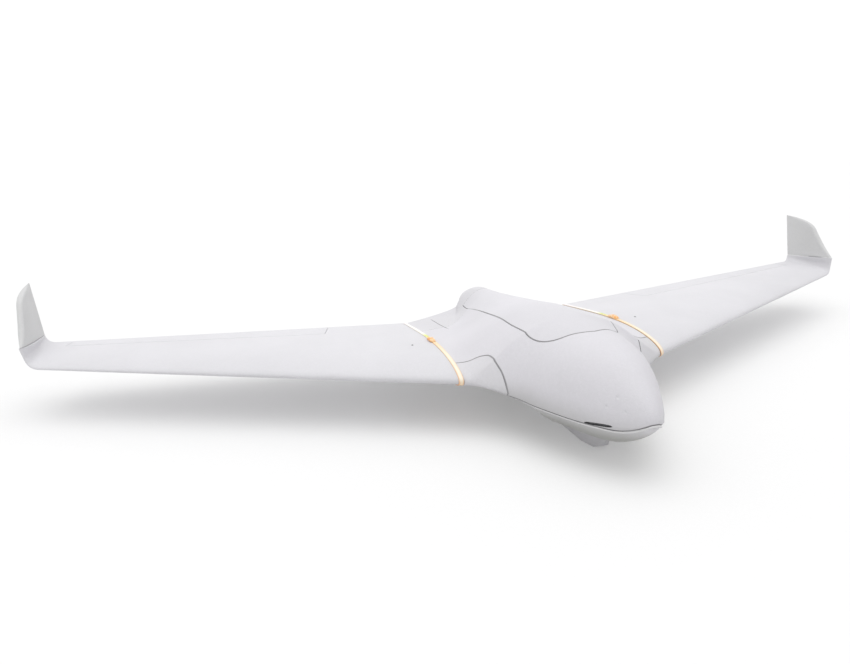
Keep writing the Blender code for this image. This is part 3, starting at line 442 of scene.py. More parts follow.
# The height ranges given to hatch, tray and wing set where their lower parts take painted shade
HATCH_FOAM = foam("foam_hatch", (0.684, 0.673, 0.708), (0.622, 0.612, 0.642), 3.1, (0.062, 0.128), 0.72)
TRAY_FOAM = foam("foam_tray", (0.668, 0.660, 0.688), (0.598, 0.590, 0.612), 7.7, (0.055, 0.106), 0.95)
CANOPY_FOAM = foam("foam_canopy", (0.680, 0.670, 0.703), (0.618, 0.610, 0.638), 12.9)
WING_FOAM = foam("foam_wing", (0.690, 0.683, 0.710), (0.630, 0.624, 0.648), 20.3, (0.060, 0.108), 0.9)
ELEVON_FOAM = foam("foam_elevon", (0.684, 0.677, 0.704), (0.624, 0.618, 0.642), 31.7)
WINGLET_FOAM = foam("foam_winglet", (0.645, 0.645, 0.650), (0.580, 0.580, 0.582), 41.9)
# Darker foam for the groove faces: dirt in the seams together with painted shade
GROOVE_DIRT_AND_SHADE = foam("foam_seam_edge", (0.400, 0.392, 0.405), (0.340, 0.334, 0.345), 53.3)
# Lighter foam on the raised nose bead: a painted highlight added to the light the bead catches
BEAD_HIGHLIGHT_FOAM = foam("foam_nose_rim", (0.700, 0.696, 0.704), (0.640, 0.636, 0.644), 61.1)
# Near-black painted shade on the faces inside joint gaps and pockets
GAP_AND_POCKET_SHADE = gap_shade_foam()
RECESS = dark_hole()
STRAP = strap_finish()
CLIP = clip_finish()


# ---------------------------------------------------------------- shapes


def smooth(points, x):
    """Monotone cubic through the points, flat beyond them."""
    px, py = (np.array(c, float) for c in zip(*sorted(points)))
    step = np.diff(px)
    rise = np.diff(py) / step
    slope = np.zeros(len(px))
    slope[1:-1] = np.where(
        rise[1:] * rise[:-1] > 0, 2 * rise[1:] * rise[:-1] / (rise[1:] + rise[:-1] + 1e-12), 0
    )
    slope[0], slope[-1] = rise[0], rise[-1]
    x = np.clip(np.asarray(x, float), px[0], px[-1])
    i = np.clip(np.searchsorted(px, x) - 1, 0, len(px) - 2)
    t = (x - px[i]) / step[i]
    return (
        (2 * t**3 - 3 * t**2 + 1) * py[i] + (t**3 - 2 * t**2 + t) * step[i] * slope[i]
        + (3 * t**2 - 2 * t**3) * py[i + 1] + (t**3 - t**2) * step[i] * slope[i + 1]
    )


def by_root(points):
    return [(math.sqrt(max(NOSE_X - x, 0.0)), v) for x, v in points]


FRONT_BY_ROOT = [(math.sqrt(d), w) for d, w in OUTLINE]
CREST_BY_ROOT = by_root(CREST)
BELLY_BY_ROOT = by_root(BELLY)
FRONT_X = np.linspace(NOSE_X, -0.002, 400)


def half_width(x):
    x = np.asarray(x, float)
    front = smooth(FRONT_BY_ROOT, np.sqrt(np.maximum(NOSE_X - x, 0.0)))
    return np.where(x > -0.2, front, smooth(TAIL_OUTLINE, x))


TAIL_XS = np.linspace(-0.434, TAIL_X, 160)
FRONT_WIDTHS = half_width(FRONT_X)
TAIL_WIDTHS = half_width(TAIL_XS)


def foil(s):
    """Heights over and under the chord line of a reflexed section one thick, at chord share s."""
    s = np.clip(np.asarray(s, float), 0.0, 1.0)
    half = 5 * (0.2969 * np.sqrt(s) - 0.1260 * s - 0.3516 * s**2 + 0.2843 * s**3 - 0.1015 * s**4)
    camber = 0.62 * s * (1 - s) * (1.15 - 1.25 * s)
    return camber + half, camber - half


def body_heights(x, y):
    """Top and bottom of the body at x for an array of distances y from its centre."""
    root = math.sqrt(max(NOSE_X - x, 0.0))
    y = np.abs(np.append(np.asarray(y, float), 0.0))
    lead = np.interp(y, FRONT_WIDTHS, FRONT_X)
    trail = np.interp(y, TAIL_WIDTHS[::-1], TAIL_XS[::-1])
    share = np.clip((lead - x) / np.maximum(lead - trail, 0.02), 0.0, 1.0)
    over, under = foil(share)
    begun = float(np.clip((FOIL_BEGINS[0] - x) / FOIL_BEGINS[1], 0.0, 1.0))
    fade = begun * float(np.clip((x - FOIL_ENDS[0]) / FOIL_ENDS[1], 0.0, 1.0))
    over, under = over * ROOT_THICK * fade, under * ROOT_THICK * fade
    edge = float(smooth(EDGE, x))
    crest = float(smooth(CREST_BY_ROOT, root)) - edge - float(over[-1])
    belly = float(smooth(BELLY_BY_ROOT, root)) - edge - float(under[-1])
    width = float(half_width(x))
    dome = width if x >= DOME_FRONT_X else min(float(smooth(DOME, x)), width)
    flare = float(smooth(FLARE, x))
    rise = np.clip(1 - (y / max(dome, 1e-6)) ** 2, 0.0, 1.0) ** flare
    hull = width if x >= DOME_FRONT_X else min(float(smooth(HULL, x)), width)
    sink = np.clip(1 - (y / max(hull, 1e-6)) ** 2, 0.0, 1.0) ** float(np.clip(flare, 0.92, 0.98))
    top, bottom = edge + over + crest * rise + FIT, edge + under + belly * sink - FIT
    return top[:-1], bottom[:-1]


def shape_object(name, shape, *materials):
    bmesh.ops.recalc_face_normals(shape, faces=shape.faces)
    if shape.calc_volume(signed=True) < 0:
        bmesh.ops.reverse_faces(shape, faces=shape.faces)
    mesh = bpy.data.meshes.new(name)
    shape.to_mesh(mesh)
    shape.free()
    mesh.shade_smooth()
    for material in materials:
        mesh.materials.append(material)
    item = bpy.data.objects.new(name, mesh)
    bpy.context.scene.collection.objects.link(item)
    return item


def loft(name, rings, *materials):
    """Closed solid through rings with equal numbers of points, capped at both ends."""
    shape = bmesh.new()
    rows = [[shape.verts.new(Vector(p) + SHIFT) for p in ring] for ring in rings]
    count = len(rows[0])
    shape.faces.new(rows[0])
    shape.faces.new(rows[-1])
    for a, b in zip(rows, rows[1:]):
        for i in range(count):
            shape.faces.new((a[i], a[(i + 1) % count], b[(i + 1) % count], b[i]))
    return shape_object(name, shape, *materials)


def prism(name, outline, low, high, axis, *materials):
    """Extrudes an outline of x and y along z, or one of x and z along y."""
    def at(a, b, c):
        return (a, b, c) if axis == "z" else (a, c, b)
    return loft(name, [[at(a, b, h) for a, b in outline] for h in (low, high)], *materials)


def tube(name, path, radius, sides, *materials, tapers=None):
    """Round tube along a path in working axes, its ends capped."""
    points = [Vector(p) for p in path]
    rings = []
    side = None
    for k, point in enumerate(points):
        ahead = (points[min(k + 1, len(points) - 1)] - points[max(k - 1, 0)]).normalized()
        if side is None:
            side = ahead.cross(Vector((0.0, 0.0, 1.0))).normalized()
        side = (side - ahead * side.dot(ahead)).normalized()
        other = ahead.cross(side)
        size = radius * (tapers[k] if tapers is not None else 1.0)
        turns = [2 * math.pi * j / sides for j in range(sides)]
        rings.append([point + side * (size * math.cos(a)) + other * (size * math.sin(a)) for a in turns])
    return loft(name, rings, *materials)


def apply_modifiers(item):
    graph = bpy.context.evaluated_depsgraph_get()
    mesh = bpy.data.meshes.new_from_object(item.evaluated_get(graph))
    item.modifiers.clear()
    item.data = mesh


def round_edges(item, width, segments, angle):
    edges = item.modifiers.new("edges", "BEVEL")
    edges.width = width
    edges.segments = segments
    edges.limit_method = "ANGLE"
    edges.angle_limit = math.radians(angle)


def cut(item, operation, *cutters):
    """Applies Booleans, and gives each cut face the finish of its cutter."""
    for cutter in cutters:
        modifier = item.modifiers.new(operation.lower(), "BOOLEAN")
        modifier.operation = operation
        modifier.solver = "EXACT"
        modifier.material_mode = "TRANSFER"
        modifier.object = cutter
    apply_modifiers(item)


def twin(item, name):
    other = item.copy()
    other.data = item.data.copy()
    other.name = name
    bpy.context.scene.collection.objects.link(other)
    return other


def mirrored(item, name):
    other = twin(item, name)
    for vertex in other.data.vertices:
        vertex.co.y = -vertex.co.y
    other.data.flip_normals()
    return other


def drop(*items):
    for item in items:
        bpy.data.objects.remove(item, do_unlink=True)


def finish_piece(item, body, slot, *nodes, angle=38.0):
    shape = bmesh.new()
    shape.from_mesh(item.data)
    bmesh.ops.remove_doubles(shape, verts=shape.verts, dist=2e-6)
    bmesh.ops.dissolve_degenerate(shape, edges=shape.edges, dist=2e-6)
    shape.to_mesh(item.data)
    shape.free()
    item.data.shade_smooth()
    item.data.set_sharp_from_angle(angle=math.radians(angle))
    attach(item, body)
    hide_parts(*nodes)


# ---------------------------------------------------------------- body


def section(x, y, top, bottom):
    over = [(x, a, b) for a, b in zip(y, top)]
    return over + [(x, a, b) for a, b in zip(y[::-1], bottom[::-1])]


def outer_body():
    stations = np.concatenate([
        NOSE_X - 0.0006 - (np.linspace(0, 1, 44) ** 2) * 0.185, np.linspace(0.101, -0.024, 40),
        np.linspace(-0.034, -0.428, 42), np.linspace(-0.434, TAIL_X, 30),
    ])
    t = np.linspace(-1, 1, 71)
    t = 0.45 * t + 0.55 * np.sin(t * math.pi / 2)
    rings = []
    for x in stations:
        y = t * float(half_width(x))
        top, bottom = body_heights(float(x), y)
        rings.append(section(x, y, top, bottom))
    return loft("outer", rings, TRAY_FOAM)


def keel_solid():
    """Runner under the belly: at each x the height and half width of its foot, then those of its root."""
    rings = []
    for x, foot, half, reach, top in (
        (0.157, -0.085, 0.004, 0.012, -0.045), (0.144, -0.100, 0.009, 0.020, -0.045),
        (0.131, KEEL_Z, 0.015, 0.027, -0.045), (0.101, KEEL_Z, KEEL_HALF, 0.031, -0.045),
        (-0.240, KEEL_Z, KEEL_HALF, 0.034, -0.045), (-0.290, -0.092, 0.016, 0.029, -0.040),
        (-0.340, -0.056, 0.010, 0.020, -0.036),
    ):
        rings.append([(x, -reach, top), (x, -half, foot), (x, half, foot), (x, reach, top)])
    keel = loft("keel", rings, TRAY_FOAM)
    round_edges(keel, KEEL_ROUND, 3, 25)
    apply_modifiers(keel)
    return keel


def bay_solid():
    rings = []
    t = np.linspace(-1, 1, 33)
    for x in np.concatenate([np.linspace(0.240, 0.150, 9), np.linspace(0.130, -0.405, 24)]):
        x = float(x)
        narrowing = 0.110 + 0.185 * x if x < 0.0 else 1.0
        wide = min(float(half_width(x)) - BAY_SIDE_WALL, BAY_HALF, narrowing)
        y = t * max(wide, 0.020)
        top, bottom = body_heights(x, y)
        top = top - WALL
        bottom = np.maximum(bottom + WALL, FLOOR_Z)
        rings.append(section(x, y, top, bottom))
    return loft("bay", rings, TRAY_FOAM)


def fine(points, count):
    """The same line with more points, rounded at its corners."""
    line = np.array(points, float)
    along = np.concatenate([[0.0], np.cumsum(np.linalg.norm(np.diff(line, axis=0), axis=1))])
    s = np.linspace(0.0, along[-1], count)
    return [tuple(float(smooth(list(zip(along, line[:, k])), v)) for k in range(line.shape[1])) for v in s]


FINE_A = fine(SEAM_A, 49)
FINE_B = fine(SEAM_B, 61)


def hatch_prism(grow):
    half = [(0.34, 0.16)]
    half += [(x, y + grow) if x > -0.020 else (x + grow, y) for x, y in FINE_A]
    half += [(x - grow, y) for x, y in SHOULDER[:2]]
    half += [SHOULDER[2], *reversed(FINE_B[1:])]
    outline = [*half, FINE_B[0], *[(x, -y) for x, y in reversed(half)]]
    return prism("hatch_plan", outline, PLAN_LOW, ALL_HIGH, "z", GAP_AND_POCKET_SHADE)


def canopy_prism(grow):
    half = [(x + grow if y < 0.07 else x, y + grow if y > 0.04 else y) for x, y in FINE_B]
    half += [(x - max(grow, 0.0), y + grow) for x, y in CANOPY_END]
    outline = half + [(x, -y) for x, y in reversed(half) if abs(y) > 1e-6]
    return prism("canopy_plan", outline, PLAN_LOW, ALL_HIGH, "z", GAP_AND_POCKET_SHADE)


def over_parting(shift):
    outline = [(x, z + shift) for x, z in PARTING]
    outline += [(x, ALL_HIGH) for x, _ in (PARTING[-1], PARTING[0])]
    return prism("over_parting", outline, -ALL_HIGH, ALL_HIGH, "y", GAP_AND_POCKET_SHADE)


def on_top(x, y, lift):
    top, _ = body_heights(x, np.array([y]))
    return (x, y, float(top[0]) + lift)


def parting_height(x):
    return float(np.interp(x, *zip(*reversed(PARTING))))


def skin_across(x, z):
    """How far from the centre the lower skin reaches the height z, at x."""
    y = np.linspace(0.0, float(half_width(x)) * 0.9999, 240)
    _, bottom = body_heights(x, y)
    return float(np.interp(z, bottom, y)) if bottom[0] < z else 0.0


def parting_tip(lift):
    """Where the parting line meets the nose tip."""
    low, high = 0.270, 0.2898
    for _ in range(30):
        x = (low + high) / 2
        _, bottom = body_heights(x, np.array([0.0]))
        z = parting_height(x) + lift
        low, high = (x, high) if bottom[0] < z else (low, x)
    return low


def parting_path(x_end, lift, out, count):
    """Round the nose from one side to the other, on the skin at the parting line."""
    half = []
    x_tip = parting_tip(lift)
    for s in np.linspace(0.0, 1.0, count):
        x = x_tip - (x_tip - x_end) * float(s) ** 2
        z = parting_height(x) + lift
        half.append((x + out * max(0.0, 1 - 3 * float(s)), skin_across(x, z) + out, z))
    start = (half[0][0], 0.0, half[0][2])
    return [(x, -y, z) for x, y, z in reversed(half[1:])] + [start] + half[1:]


def slot_cutter(side):
    """Finger gap in the nose joint: a long narrow pocket with rounded ends."""
    rings = []
    for x in np.linspace(0.2002, 0.2448, 19):
        x = float(x)
        z = -0.0185 + (x - 0.205) * 0.155
        across = skin_across(x, z)
        t = (x - FINGER_GAP_X) / FINGER_GAP_HALF
        high = 0.0026 * math.sqrt(max(0.02, 1 - t**4))
        inner, outer = (across - 0.0050), (across + 0.006)
        rings.append([(x, side * inner, z - high), (x, side * outer, z - high),
                      (x, side * outer, z + high), (x, side * inner, z + high)])
    return loft("finger_gap", rings, RECESS)


def dimples():
    """Shallow round marks on the nose of the hatch."""
    shape = bmesh.new()
    for x, y in DIMPLES:
        top, _ = body_heights(x, np.array([y, y - 0.002, y + 0.002]))
        ahead, _ = body_heights(x + 0.002, np.array([y]))
        slope_y = (top[2] - top[1]) / 0.004
        slope_x = (ahead[0] - top[0]) / 0.002
        normal = Vector((-slope_x, -slope_y, 1.0)).normalized()
        centre = Vector((x, y, top[0])) + normal * DIMPLE_LIFT + SHIFT
        bmesh.ops.create_icosphere(shape, subdivisions=4, radius=DIMPLE_BALL,
                                   matrix=Matrix.Translation(centre))
    return shape_object("dimples", shape, HATCH_FOAM)


def nose_rim():
    """Raised bead along the tray's edge round the nose, in lighter foam as a painted highlight."""
    path = parting_path(0.075, LIP_DROP, LIP_PROUD, 40)
    count = len(path)
    fade = [min(1.0, 0.25 + 3.0 * min(k, count - 1 - k) / count) for k in range(count)]
    return tube("lip", path, LIP_RADIUS, 12, BEAD_HIGHLIGHT_FOAM, tapers=fade)


def groove_cutters():
    """Rounded grooves along the seams of hatch, canopy and nose, and the creases of the rear deck. Their
    faces take darker foam: dirt in the seams together with painted shade.
    """
    grooves = []
    for sign in (1, -1):
        side = [on_top(x, sign * y, GROOVE_LIFT) for x, y in FINE_A[8:]]
        grooves.append(tube("groove", side, GROOVE_RADIUS, 8, GROOVE_DIRT_AND_SHADE, tapers=fading(len(side), 5)))
        line = [on_top(x, sign * y, CREASE_LIFT) for x, y in fine(CREASE, 16)]
        grooves.append(tube("crease", line, CREASE_RADIUS, 8, GROOVE_DIRT_AND_SHADE, tapers=fading(len(line), 2)))
    ring = [on_top(x, y, GROOVE_LIFT) for x, y in reversed(FINE_B) if x > -0.372]
    ring += [on_top(x, -y, GROOVE_LIFT) for x, y in FINE_B[1:] if x > -0.372]
    grooves.append(tube("groove", ring, GROOVE_RADIUS, 8, GROOVE_DIRT_AND_SHADE, tapers=fading(len(ring), 14)))
    grooves.append(tube("groove", parting_path(0.050, 0.0, GAP, 46), JOINT_GROOVE_RADIUS, 8, GROOVE_DIRT_AND_SHADE))
    return grooves


def build_body():
    outer = outer_body()
    keel = keel_solid()
    lip = nose_rim()
    cut(outer, "UNION", keel, lip)
    grooves = groove_cutters()
    cut(outer, "DIFFERENCE", *grooves)
    bay = bay_solid()

    hatch_plan, canopy_plan, over = hatch_prism(0.0), canopy_prism(-GAP), over_parting(0.0)
    hatch = twin(outer, "hatch_shell")
    cut(hatch, "INTERSECT", hatch_plan, over)
    slots = [slot_cutter(1), slot_cutter(-1)]
    marks = dimples()
    cut(hatch, "DIFFERENCE", bay, *slots, marks)
    canopy = twin(outer, "canopy_shell")
    cut(canopy, "INTERSECT", canopy_plan, over)
    cut(canopy, "DIFFERENCE", bay)

    tray = twin(outer, "tray_shell")
    room = hatch_prism(GAP)
    wide_plan, under = canopy_prism(GAP), over_parting(-GAP)
    cut(room, "UNION", wide_plan)
    cut(room, "INTERSECT", under)
    seats = magnet_seats(SIDE_MAGNET_Z - GAP, TAIL_MAGNET_Z - GAP, -1)
    rods = spar_rods()
    cut(tray, "DIFFERENCE", room, bay, *slots, *rods, seats)
    above = magnet_seats(SIDE_MAGNET_Z, TAIL_MAGNET_Z, 1)
    cut(hatch, "DIFFERENCE", above)
    cut(canopy, "DIFFERENCE", above)
    drop(outer, keel, lip, *grooves, bay, hatch_plan, canopy_plan, over, *slots, marks, room, wide_plan,
         under, seats, above, *rods)
    repaint(hatch, TRAY_FOAM, HATCH_FOAM)
    repaint(canopy, TRAY_FOAM, CANOPY_FOAM)
    finish_piece(hatch, "hatch", "foam", "hatch")
    finish_piece(canopy, "canopy", "foam", "canopy")
    finish_piece(tray, "fuselage", "foam", "fuselage_tray")


def repaint(item, old, new):
    for slot in item.material_slots:
        if slot.material == old:
            slot.material = new


def fading(count, reach):
    """Widths along a groove that dies out at both ends."""
    return [min(1.0, 0.35 + 0.65 * min(k, count - 1 - k) / reach) for k in range(count)]


def magnet_seats(side_z, tail_z, way):
    """Pockets for the magnets, below the joint or above it."""
    shape = bmesh.new()
    for x, y, z in ((-0.200, 0.150, side_z), (-0.200, -0.150, side_z), (-0.430, 0.0, tail_z)):
        low, high = (z - 0.0034, z + 0.008) if way < 0 else (z - 0.008, z + 0.0034)
        place = Matrix.Translation(Vector((x, y, (low + high) / 2)) + SHIFT)
        bmesh.ops.create_cone(shape, cap_ends=True, segments=32, radius1=MAGNET_ROOM,
                              radius2=MAGNET_ROOM, depth=high - low, matrix=place)
    return shape_object("magnet_seats", shape, GAP_AND_POCKET_SHADE)


def spar_rods():
    rods = []
    for x, z, radius, reach in (FRONT_SPAR, REAR_SPAR):
        shape = bmesh.new()
        place = Matrix.Translation(Vector((x, 0.0, z)) + SHIFT) @ Matrix.Rotation(math.pi / 2, 4, "X")
        bmesh.ops.create_cone(shape, cap_ends=True, segments=40, radius1=radius + FIT,
                              radius2=radius + FIT, depth=2 * reach + 0.002, matrix=place)
        rods.append(shape_object("spar_room", shape, GAP_AND_POCKET_SHADE))
    return rods


# ---------------------------------------------------------------- wing


SHARES = 0.5 - 0.5 * np.cos(np.linspace(0, math.pi, 37))


def lerp(a, b, t):
    return a + (b - a) * t


def foil_ring(lead, trail, up, thick, slab=0.0):
    """One section of a wing or winglet, slab saying how far it goes from a foil to a flat plate."""
    over, under = foil(SHARES)
    blunt = 0.5 * np.minimum(1.0, np.sqrt(np.clip(SHARES / 0.035, 0, 1)))
    plate = blunt * (1 - np.clip(SHARES - 0.3, 0, 1) * 1.36)
    over, under = over + (plate - over) * slab, under + (-plate - under) * slab
    edge = 0.0005 * SHARES
    chord = trail - lead
    top = [lead + chord * s + up * (h * thick + e) for s, h, e in zip(SHARES, over, edge)]
    low = [lead + chord * s + up * (h * thick - e) for s, h, e in zip(SHARES, under, edge)]
    return [p.copy() for p in reversed(top)] + [p.copy() for p in low[1:]]


def wing_frame(y):
    t = (y - JOINT_Y) / (TIP_Y - JOINT_Y)
    return lerp(ROOT_LE, TIP_LE, t), lerp(ROOT_TE, TIP_TE, t), lerp(ROOT_THICK, TIP_THICK, t)


def bezier(a, b, c, d, t):
    return a * (1 - t) ** 3 + b * (3 * t * (1 - t) ** 2) + c * (3 * t * t * (1 - t)) + d * t**3


RISE = Vector((0, math.cos(LEAN), math.sin(LEAN)))
OUT = Vector((0, -math.sin(LEAN), math.cos(LEAN)))


def wing_rings(start):
    """Sections along the wing, then round the bend at its tip and up to the winglet's foot."""
    rings = []
    for y in (start, 0.25, 0.30, 0.36, 0.42, 0.50, 0.60, 0.70, 0.80, 0.90, 0.985, 1.005, TIP_Y):
        lead, trail, thick = wing_frame(y)
        rings.append(foil_ring(lead, trail, Vector((0, 0, 1)), thick))
    for t in np.linspace(0.08, 1.0, 15):
        t = float(t)
        lead = bezier(TIP_LE, TIP_LE + Vector((-0.010, 0.026, 0.0)), WINGLET_LE - RISE * 0.030,
                      WINGLET_LE, t)
        trail = bezier(TIP_TE, TIP_TE + Vector((-0.004, 0.014, 0.0)), WINGLET_TE - RISE * 0.010,
                       WINGLET_TE, t)
        lean = LEAN * t * t * (3 - 2 * t)
        up = Vector((0, -math.sin(lean), math.cos(lean)))
        rim = TIP_RIM * max(0.0, min(1.0, (t - 0.78) / 0.14))
        rings.append(foil_ring(lead, trail, up, lerp(TIP_THICK, WINGLET_THICK, t) + rim))
    return rings


SWELL = [(0.0, 0.0), (0.3, 0.8), (0.6, 1.0), (0.85, 0.5), (1.0, -2.2)]


def winglet_shell():
    top_lead = Vector((-0.588, WINGLET_TOP.y, WINGLET_TOP.z))
    front = [(0.0, WINGLET_LE.x), (0.25, -0.4345), (0.60, -0.470), (0.78, -0.488), (0.90, -0.517),
             (0.97, -0.555), (1.0, top_lead.x)]
    rings = []
    for f in (0.0, 0.012, 0.03, 0.10, 0.20, 0.30, 0.40, 0.50, 0.58, 0.66, 0.72, 0.77, 0.81, 0.85, 0.88,
              0.91, 0.935, 0.955, 0.97, 0.98, 0.99, 1.0):
        lead = lerp(WINGLET_LE, top_lead, f)
        lead.x = float(smooth(front, f))
        trail = lerp(WINGLET_TE, WINGLET_TOP, f)
        thick = WINGLET_THICK - 0.0016 + 0.0018 * float(smooth(SWELL, f))
        thick = min(thick, 0.17 * (lead - trail).length)
        thick *= 0.93 if f < 0.005 else 1.0
        chord = (trail - lead) * 0.004
        slab = 0.75 * min(1.0, f / 0.2)
        lift = RISE * 0.0009
        rings.append(foil_ring(lead + chord + lift, trail - chord + lift, OUT, thick, slab))
    return loft("winglet_shell_left", rings, WINGLET_FOAM)


def hinge_frame():
    ends = []
    for y in (ELEVON_IN_Y, ELEVON_OUT_Y):
        lead, trail, thick = wing_frame(y)
        ends.append(lerp(lead, trail, HINGE_AT) + Vector((0, 0, float(foil(HINGE_AT)[0]) * thick)))
    along = (ends[1] - ends[0]).normalized()
    aft = Vector((-1, 0, 0))
    aft = (aft - along * aft.dot(along)).normalized()
    up = aft.cross(along).normalized()
    if up.z < 0:
        up.negate()
    return ends[0], along, aft, up, (ends[1] - ends[0]).length


HINGE, ALONG, AFT, UP, SPAN = hinge_frame()


def local(a, b, c):
    return HINGE + ALONG * a + AFT * b + UP * c


def skin_below(a, b):
    place = local(a, b, 0.0)
    lead, trail, thick = wing_frame(place.y)
    share = (lead.x - place.x) / (lead.x - trail.x)
    return lerp(lead.z, trail.z, share) + float(foil(share)[1]) * thick - 0.0005 * share - place.z


def hinge_prism(name, outline, ends, *materials):
    return loft(name, [[local(u, v, w) for v, w in outline] for u in ends], *materials)


def hinge_block(name, a, b, c, *materials):
    outline = [(b[0], c[0]), (b[1], c[0]), (b[1], c[1]), (b[0], c[1])]
    return hinge_prism(name, outline, a, *materials)


def wing_top(x, y):
    lead, trail, thick = wing_frame(y)
    share = (lead.x - x) / (lead.x - trail.x)
    return Vector((x, y, lerp(lead.z, trail.z, share) + float(foil(share)[0]) * thick))


def tongue_room():
    chord = (WINGLET_TE - WINGLET_LE).normalized()
    middle = lerp(WINGLET_LE, WINGLET_TE, 0.36) + OUT * 0.0006
    half, side, low, high = TONGUE_ROOM
    plan = [(-half, -side), (half, -side), (half, side), (-half, side)]
    rings = [[middle + RISE * h + chord * a + OUT * b for a, b in plan] for h in (low, high)]
    return loft("tongue_room", rings, GAP_AND_POCKET_SHADE)


def hinge_crease():
    line = [local(a, 0.0, 0.00035) for a in np.linspace(-0.0005, SPAN + 0.0005, 13)]
    return tube("hinge_crease", line, 0.0008, 8, WING_FOAM)


def wing_hole():
    """Small oval hole in the top skin beside the strap."""
    shape = bmesh.new()
    place = Matrix.Translation(wing_top(*WING_HOLE) + SHIFT) @ Matrix.Diagonal((1.35, 1.0, 1.0, 1.0))
    bmesh.ops.create_cone(shape, cap_ends=True, segments=28, radius1=0.0021, radius2=0.0023, depth=0.007,
                          matrix=place)
    return shape_object("wing_hole", shape, RECESS)


def build_wing():
    whole = loft("wing_whole", wing_rings(JOINT_Y + 2 * FIT + RIB), WING_FOAM)
    crease, hole = hinge_crease(), wing_hole()
    cut(whole, "DIFFERENCE", crease, hole)

    elevon = twin(whole, "elevon_shell_left")
    outline = [(0.0, 0.02), (0.0, 0.0), (0.040 * BEVEL, -0.040), (0.2, -0.040), (0.2, 0.02)]
    wedge = hinge_prism("elevon_wedge", outline, (0.0, SPAN), WING_FOAM)
    cut(elevon, "INTERSECT", wedge)

    panel = twin(whole, "wing_shell_left")
    space = hinge_block("elevon_space", (-ELEVON_GAP, SPAN + ELEVON_GAP), (-FIT, 0.3), (-0.06, 0.04),
                        WING_FOAM)
    rods = spar_rods()
    a0, b0, c0 = LINK_AT, -SERVO_AHEAD, -SERVO_DROP
    pocket = hinge_block("servo_pocket", (a0 - 0.0283, a0 + 0.0050), (b0 - 0.0140, b0 + 0.0185),
                         (-0.06, c0 + 0.0063), GAP_AND_POCKET_SHADE)
    skin = max(skin_below(a0, b0 - 0.018), skin_below(a0, b0 + 0.022)) + 0.0008
    recess = hinge_block("cover_recess", (a0 - 0.0323, a0 + 0.0093), (b0 - 0.0183, b0 + 0.0223),
                         (-0.06, skin), WING_FOAM)
    tongue = tongue_room()
    cut(panel, "DIFFERENCE", space, *rods, pocket, recess, tongue)
    winglet = winglet_shell()
    cut(winglet, "DIFFERENCE", tongue)
    drop(whole, crease, hole, wedge, space, *rods, pocket, recess, tongue)
    repaint(elevon, WING_FOAM, ELEVON_FOAM)
    for item, kind in ((panel, "wing"), (elevon, "elevon"), (winglet, "winglet")):
        other = mirrored(item, item.name.replace("_left", "_right"))
        finish_piece(item, f"{kind}_left", "foam", f"{kind}_left")
        finish_piece(other, f"{kind}_right", "foam", f"{kind}_right")


# ---------------------------------------------------------------- straps


BAND_Y = JOINT_Y + 2 * FIT


def strap_line(y):
    """Points and outward directions on the skin from the trailing edge to under the leading edge."""
    lead, trail, thick = wing_frame(y)
    chord = trail - lead
    shares = 0.5 - 0.5 * np.cos(np.linspace(0, math.pi, 73))
    found = []
    for s, side in [(s, 0) for s in shares[66::-1]] + [(s, 1) for s in shares[1:31]]:
        h = float(foil(s)[side]) * thick
        sign = 1 - 2 * side
        found.append(lead + chord * s + Vector((0, 0, h + sign * 0.0005 * s)))
    line = []
    for k, point in enumerate(found):
        ahead = (found[min(k + 1, len(found) - 1)] - found[max(k - 1, 0)]).normalized()
        line.append((point, Vector((-ahead.z, 0.0, ahead.x)).normalized()))
    return line


def strap(side):
    """Flat elastic strap with rolled edges, its lie kept in a map for the finish."""
    profile = [(0.00, 0.25), (0.04, 0.75), (0.12, 1.0), (0.30, 0.90), (0.50, 0.86), (0.70, 0.90),
               (0.88, 1.0), (0.96, 0.75), (1.00, 0.25), (0.97, 0.0), (0.5, 0.0), (0.03, 0.0)]
    lines = {u: strap_line(BAND_Y + BAND_WIDTH * u) for u, _ in profile}
    total = len(lines[0.5])
    shape = bmesh.new()
    lie = shape.loops.layers.uv.new("lie")
    rows = []
    for k in range(total):
        row = []
        for u, v in profile:
            point, out = lines[u][k]
            place = point + out * (FIT + BAND_THICK * v) + SHIFT
            row.append((shape.verts.new((place.x, side * place.y, place.z)), u, k / (total - 1)))
        rows.append(row)
    count = len(profile)
    quads = [(a[i], a[(i + 1) % count], b[(i + 1) % count], b[i])
             for a, b in zip(rows, rows[1:]) for i in range(count)]
    for corners in (*quads, rows[0], rows[-1]):
        face = shape.faces.new([vertex for vertex, _, _ in corners])
        for loop, (_, across, along) in zip(face.loops, corners):
            loop[lie].uv = (across, along)
    name = "left" if side > 0 else "right"
    item = shape_object(f"strap_{name}", shape, STRAP)
    finish_piece(item, f"wing_{name}", "amber_strap", f"band_{name}", angle=60.0)


def clip(side):
    """Arched buckle over the strap."""
    y = BAND_Y + BAND_WIDTH / 2 + 0.0016
    lead, trail, thick = wing_frame(y)
    profile = [(-1.0, 0.0), (-0.92, 0.62), (-0.62, 1.0), (0.0, 0.86), (0.62, 1.0), (0.92, 0.62), (1.0, 0.0)]
    rings = []
    for t in np.linspace(-1, 1, 17):
        t = float(t)
        s = CLIP_AT - CLIP_HALF_LONG * t
        skin = float(foil(s)[0]) * thick
        base = lerp(lead, trail, s) + Vector((0, 0, skin + FIT + BAND_THICK + 0.0002))
        arch = math.sqrt(max(0.0, 1 - t * t))
        high = CLIP_EDGE + CLIP_HIGH * arch
        half = CLIP_HALF_WIDE * (0.62 + 0.38 * arch)
        rings.append([(base.x, side * (base.y + half * u), base.z + high * v) for u, v in profile])
    name = "left" if side > 0 else "right"
    item = loft(f"strap_clip_{name}", rings, CLIP)
    finish_piece(item, f"wing_{name}", "orange_plastic", f"band_clip_{name}", angle=60.0)


# ---------------------------------------------------------------- carried pieces


